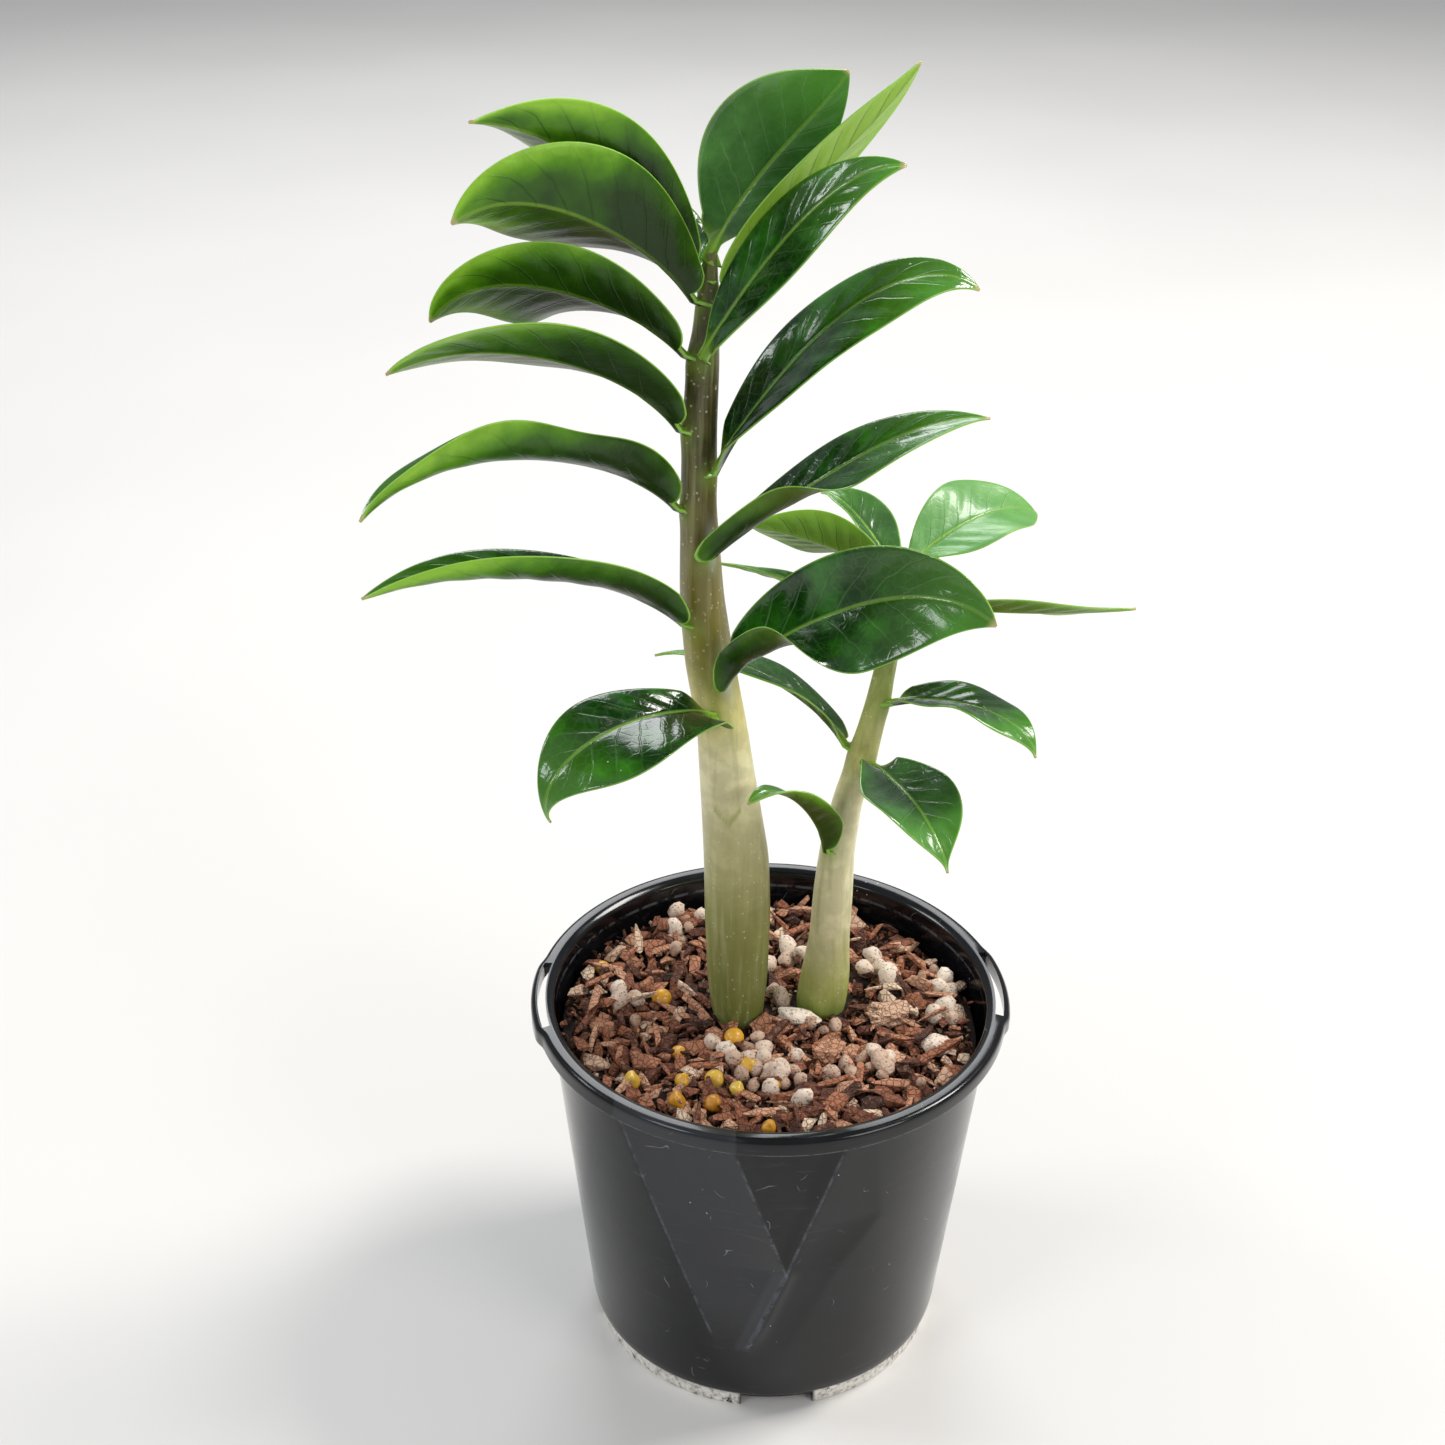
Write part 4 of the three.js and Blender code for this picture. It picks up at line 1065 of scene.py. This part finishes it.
def mound(x, y):
    """The lie of the mix's surface, in millimetres above its middle height. It is heaped towards
    the wall, most of all at the back left."""
    heap = float(smoothstep(math.hypot(x, y), 20, 48)) * (2.2 + (y - x) / 45)
    return 0.6 * noise.noise(Vector((x / 14, y / 14, 0.7))) + heap


def clear_of_stalks(x, y, room):
    """0 inside a stalk or against the pot's wall, 1 elsewhere."""
    gaps = [math.hypot(x - stops[1][0], y - stops[1][1]) - stops[1][3] for stops in STALKS.values()]
    return float(min(gaps) > room and math.hypot(x, y) < mix_reach(x, y) - room)


def pumice_share(x, y):
    """How much of the surface is pumice at a place, from 0 to 1."""
    return max(math.exp(-((x - spot_x) ** 2 + (y - spot_y) ** 2) / (2 * (spread * 0.62) ** 2))
               for spot_x, spot_y, spread in PUMICE_SPOTS)


def rough_bit(name, seed, finishes):
    """A finer stone, bead or piece of bark in the place of a CAD bit."""
    kind = name.split("_")[0]
    low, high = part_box(name)
    middle, size = (low + high) / 2 / MM, (high - low) / MM
    length, width, turn = BIT_SIZES[name]
    work = bmesh.new()
    bmesh.ops.create_icosphere(work, subdivisions=5, radius=0.5)
    spin = Matrix.Rotation(math.radians(turn), 3, "Z")
    shift = Vector((seed * 3.7, seed * 1.3, 0.5))
    for vertex in work.verts:
        spot = vertex.co.copy()
        if kind == "bead":
            factor = 1 + 0.03 * noise.noise(spot * 3 + shift)
        elif kind == "pumice":
            factor = 0.93 + 0.22 * noise.noise(spot * 2.2 + shift)
            factor = factor + 0.05 * noise.fractal(spot * 9 + shift, 0.7, 2, 4)
        else:
            fibre = Vector((spot.x * 1.5, spot.y * 9, spot.z * 9))
            boxy = 0.5 / max(abs(spot.x), abs(spot.y), abs(spot.z), 0.3)
            factor = 0.62 * boxy ** 0.6 + 0.3 * noise.noise(spot * 2.5 + shift)
            factor = factor + 0.16 * noise.noise(fibre + shift)
            factor = factor + 0.07 * noise.fractal(fibre * 2.2 + shift, 0.7, 2, 3)
        scaled = Vector((spot.x * length, spot.y * width, spot.z * size.z)) * factor
        vertex.co = (spin @ scaled + middle) * MM
    bmesh.ops.recalc_face_normals(work, faces=work.faces)
    mesh = bpy.data.meshes.new(f"{name}_rough")
    work.to_mesh(mesh)
    work.free()
    mesh.shade_smooth()
    tint = BIT_TINTS.get(name, 0.3 + 0.6 * ((seed * 0.37) % 1))
    mesh.attributes.new("tint", "FLOAT", "POINT").data.foreach_set("value", [tint] * len(mesh.vertices))
    return new_piece(f"{name}_rough", mesh, [finishes[kind]], [name])


# ---- the plant ----

finishes = {"bark": bark(), "pumice": pumice(), "bead": fertiliser_bead()}
pot()
mix_bed(dark_crumbs())
flakes = [chip(seed, size) for seed, size in enumerate([
    (5, 3, 1.6), (6, 2.6, 1.4), (4, 3.4, 2), (7, 2, 1.5), (3.4, 3, 1.8), (5.5, 4, 1.5), (4.5, 2, 2),
    (6.5, 3.2, 2.2)])]
slivers = [chip(20 + seed, size) for seed, size in enumerate([
    (11, 1.8, 1.3), (14, 2.2, 1.5), (9, 1.4, 1.1), (12, 3, 1.4), (8, 2.4, 1.6)])]
stones = [grain(seed, size) for seed, size in enumerate([
    (5.5, 4.5, 4), (6.5, 5, 4.5), (4.5, 4, 3.6), (7, 4.6, 4.2), (5, 4.8, 4.4)])]
beads = [grain(40, (4.1, 4.1, 4.1), 3)]
strew("bark_fines", finishes["bark"], flakes, lambda x, y: clear_of_stalks(x, y, 0.6),
      1.3, (0.3, 0.6), 1.4, 1.0, MIX_TOP - 0.8, 1)
strew("bark_chips", finishes["bark"], flakes,
      lambda x, y: clear_of_stalks(x, y, 2.2) * (1 - 0.7 * pumice_share(x, y)),
      3.8, (0.75, 1.75), 0.6, 1.4, MIX_TOP + 0.4, 2)
strew("bark_slivers", finishes["bark"], slivers, lambda x, y: clear_of_stalks(x, y, 4.5),
      7.0, (0.7, 1.15), 0.3, 1.0, MIX_TOP + 1.9, 3)
strew("pumice_grains", finishes["pumice"], stones,
      lambda x, y: clear_of_stalks(x, y, 2.5) * pumice_share(x, y),
      3.8, (0.6, 1.15), 1.5, 1.2, MIX_TOP + 1.1, 4)
strew("feed_beads", finishes["bead"], beads,
      lambda x, y: clear_of_stalks(x, y, 3) * (x < 5) * (y < -11) * 0.5, 8.5, (0.85, 1.1), 0.5, 1.0,
      MIX_TOP + 1.6, 6)
for seed, name in enumerate(BIT_SIZES):
    rough_bit(name, seed, finishes)

stalk("main", stalk_skin("stalk_main_skin", [
    [86, "6c7c30"], [102, "87904e"], [124, "99985c"], [142, "bdb680"], [164, "f6edbf"], [180, "d6ca80"],
    [196, "8a8030"], [222, "69592a"], [242, "3d3414"], [268, "302c16"], [290, "4f5a22"]]))
stalk("side", stalk_skin("stalk_side_skin", [
    [86, "86a23e"], [98, "bcc273"], [112, "ebe4b6"], [146, "f0e8bc"], [162, "cbc57c"], [180, "9fab58"],
    [212, "6f9040"]]))
blade_finishes = [leaf_top(), leaf_under()]
for stalk_name, leaves in LEAFLETS.items():
    for index, values in enumerate(leaves):
        leaflet(stalk_name, values, blade_finishes, 100 + index + 50 * (stalk_name == "side"))

# ---- floor, light and camera ----

floor_mesh = bpy.data.meshes.new("floor")
floor_mesh.from_pydata([(-5, -5, 0), (5, -5, 0), (5, 5, 0), (-5, 5, 0)], [], [(0, 1, 2, 3)])
floor_mesh.materials.append(pale_floor())
floor = bpy.data.objects.new("floor", floor_mesh)
scene.collection.objects.link(floor)


def soft_light(name, place, aim, size, power, colour=(1, 1, 1)):
    lamp = bpy.data.lights.new(name, "AREA")
    lamp.shape, lamp.size, lamp.energy, lamp.color = "SQUARE", size, power, colour
    made = bpy.data.objects.new(name, lamp)
    made.location = place
    made.rotation_euler = (Vector(aim) - Vector(place)).to_track_quat("-Z", "Y").to_euler()
    scene.collection.objects.link(made)


soft_light("key", (1.05, 0.36, 1.42), (0, 0, 0.15), 0.5, 22, (1, 0.97, 0.93))
soft_light("right_fill", (1.0, -0.9, 0.8), (0, 0, 0.2), 0.6, 6, (1, 0.98, 0.95))
soft_light("back", (-0.1, 1.4, 1.25), (0, 0, 0.2), 0.8, 11, (0.96, 0.98, 1))
soft_light("left_window", (-1.4, 0.26, 1.15), (0, 0, 0.25), 0.5, 8, (0.95, 0.98, 1))
soft_light("front_window", (-0.95, -0.85, 1.0), (0, 0, 0.2), 0.4, 4, (0.95, 0.98, 1))

world = bpy.data.worlds.new("pale_room")
world.use_nodes = True
scene.world = world
room = Tree(world.node_tree)
glow = room.node("ShaderNodeBackground", inputs={"Color": (0.92, 0.95, 1, 1), "Strength": 0.34})
room.node("ShaderNodeOutputWorld", inputs={"Surface": glow})
scene.view_settings.view_transform = "Standard"

camera_data = bpy.data.cameras.new("camera")
camera_data.sensor_width = 36
camera_data.lens = 52.3
camera_data.clip_start = 0.01
camera = bpy.data.objects.new("camera", camera_data)
camera.location = (-0.01296, -0.437, 0.4167)
pitch, roll = math.radians(90 - 28.74), math.radians(0.66)
camera.rotation_euler = (Matrix.Rotation(pitch, 3, "X") @ Matrix.Rotation(roll, 3, "Z")).to_euler()
scene.collection.objects.link(camera)
scene.camera = camera
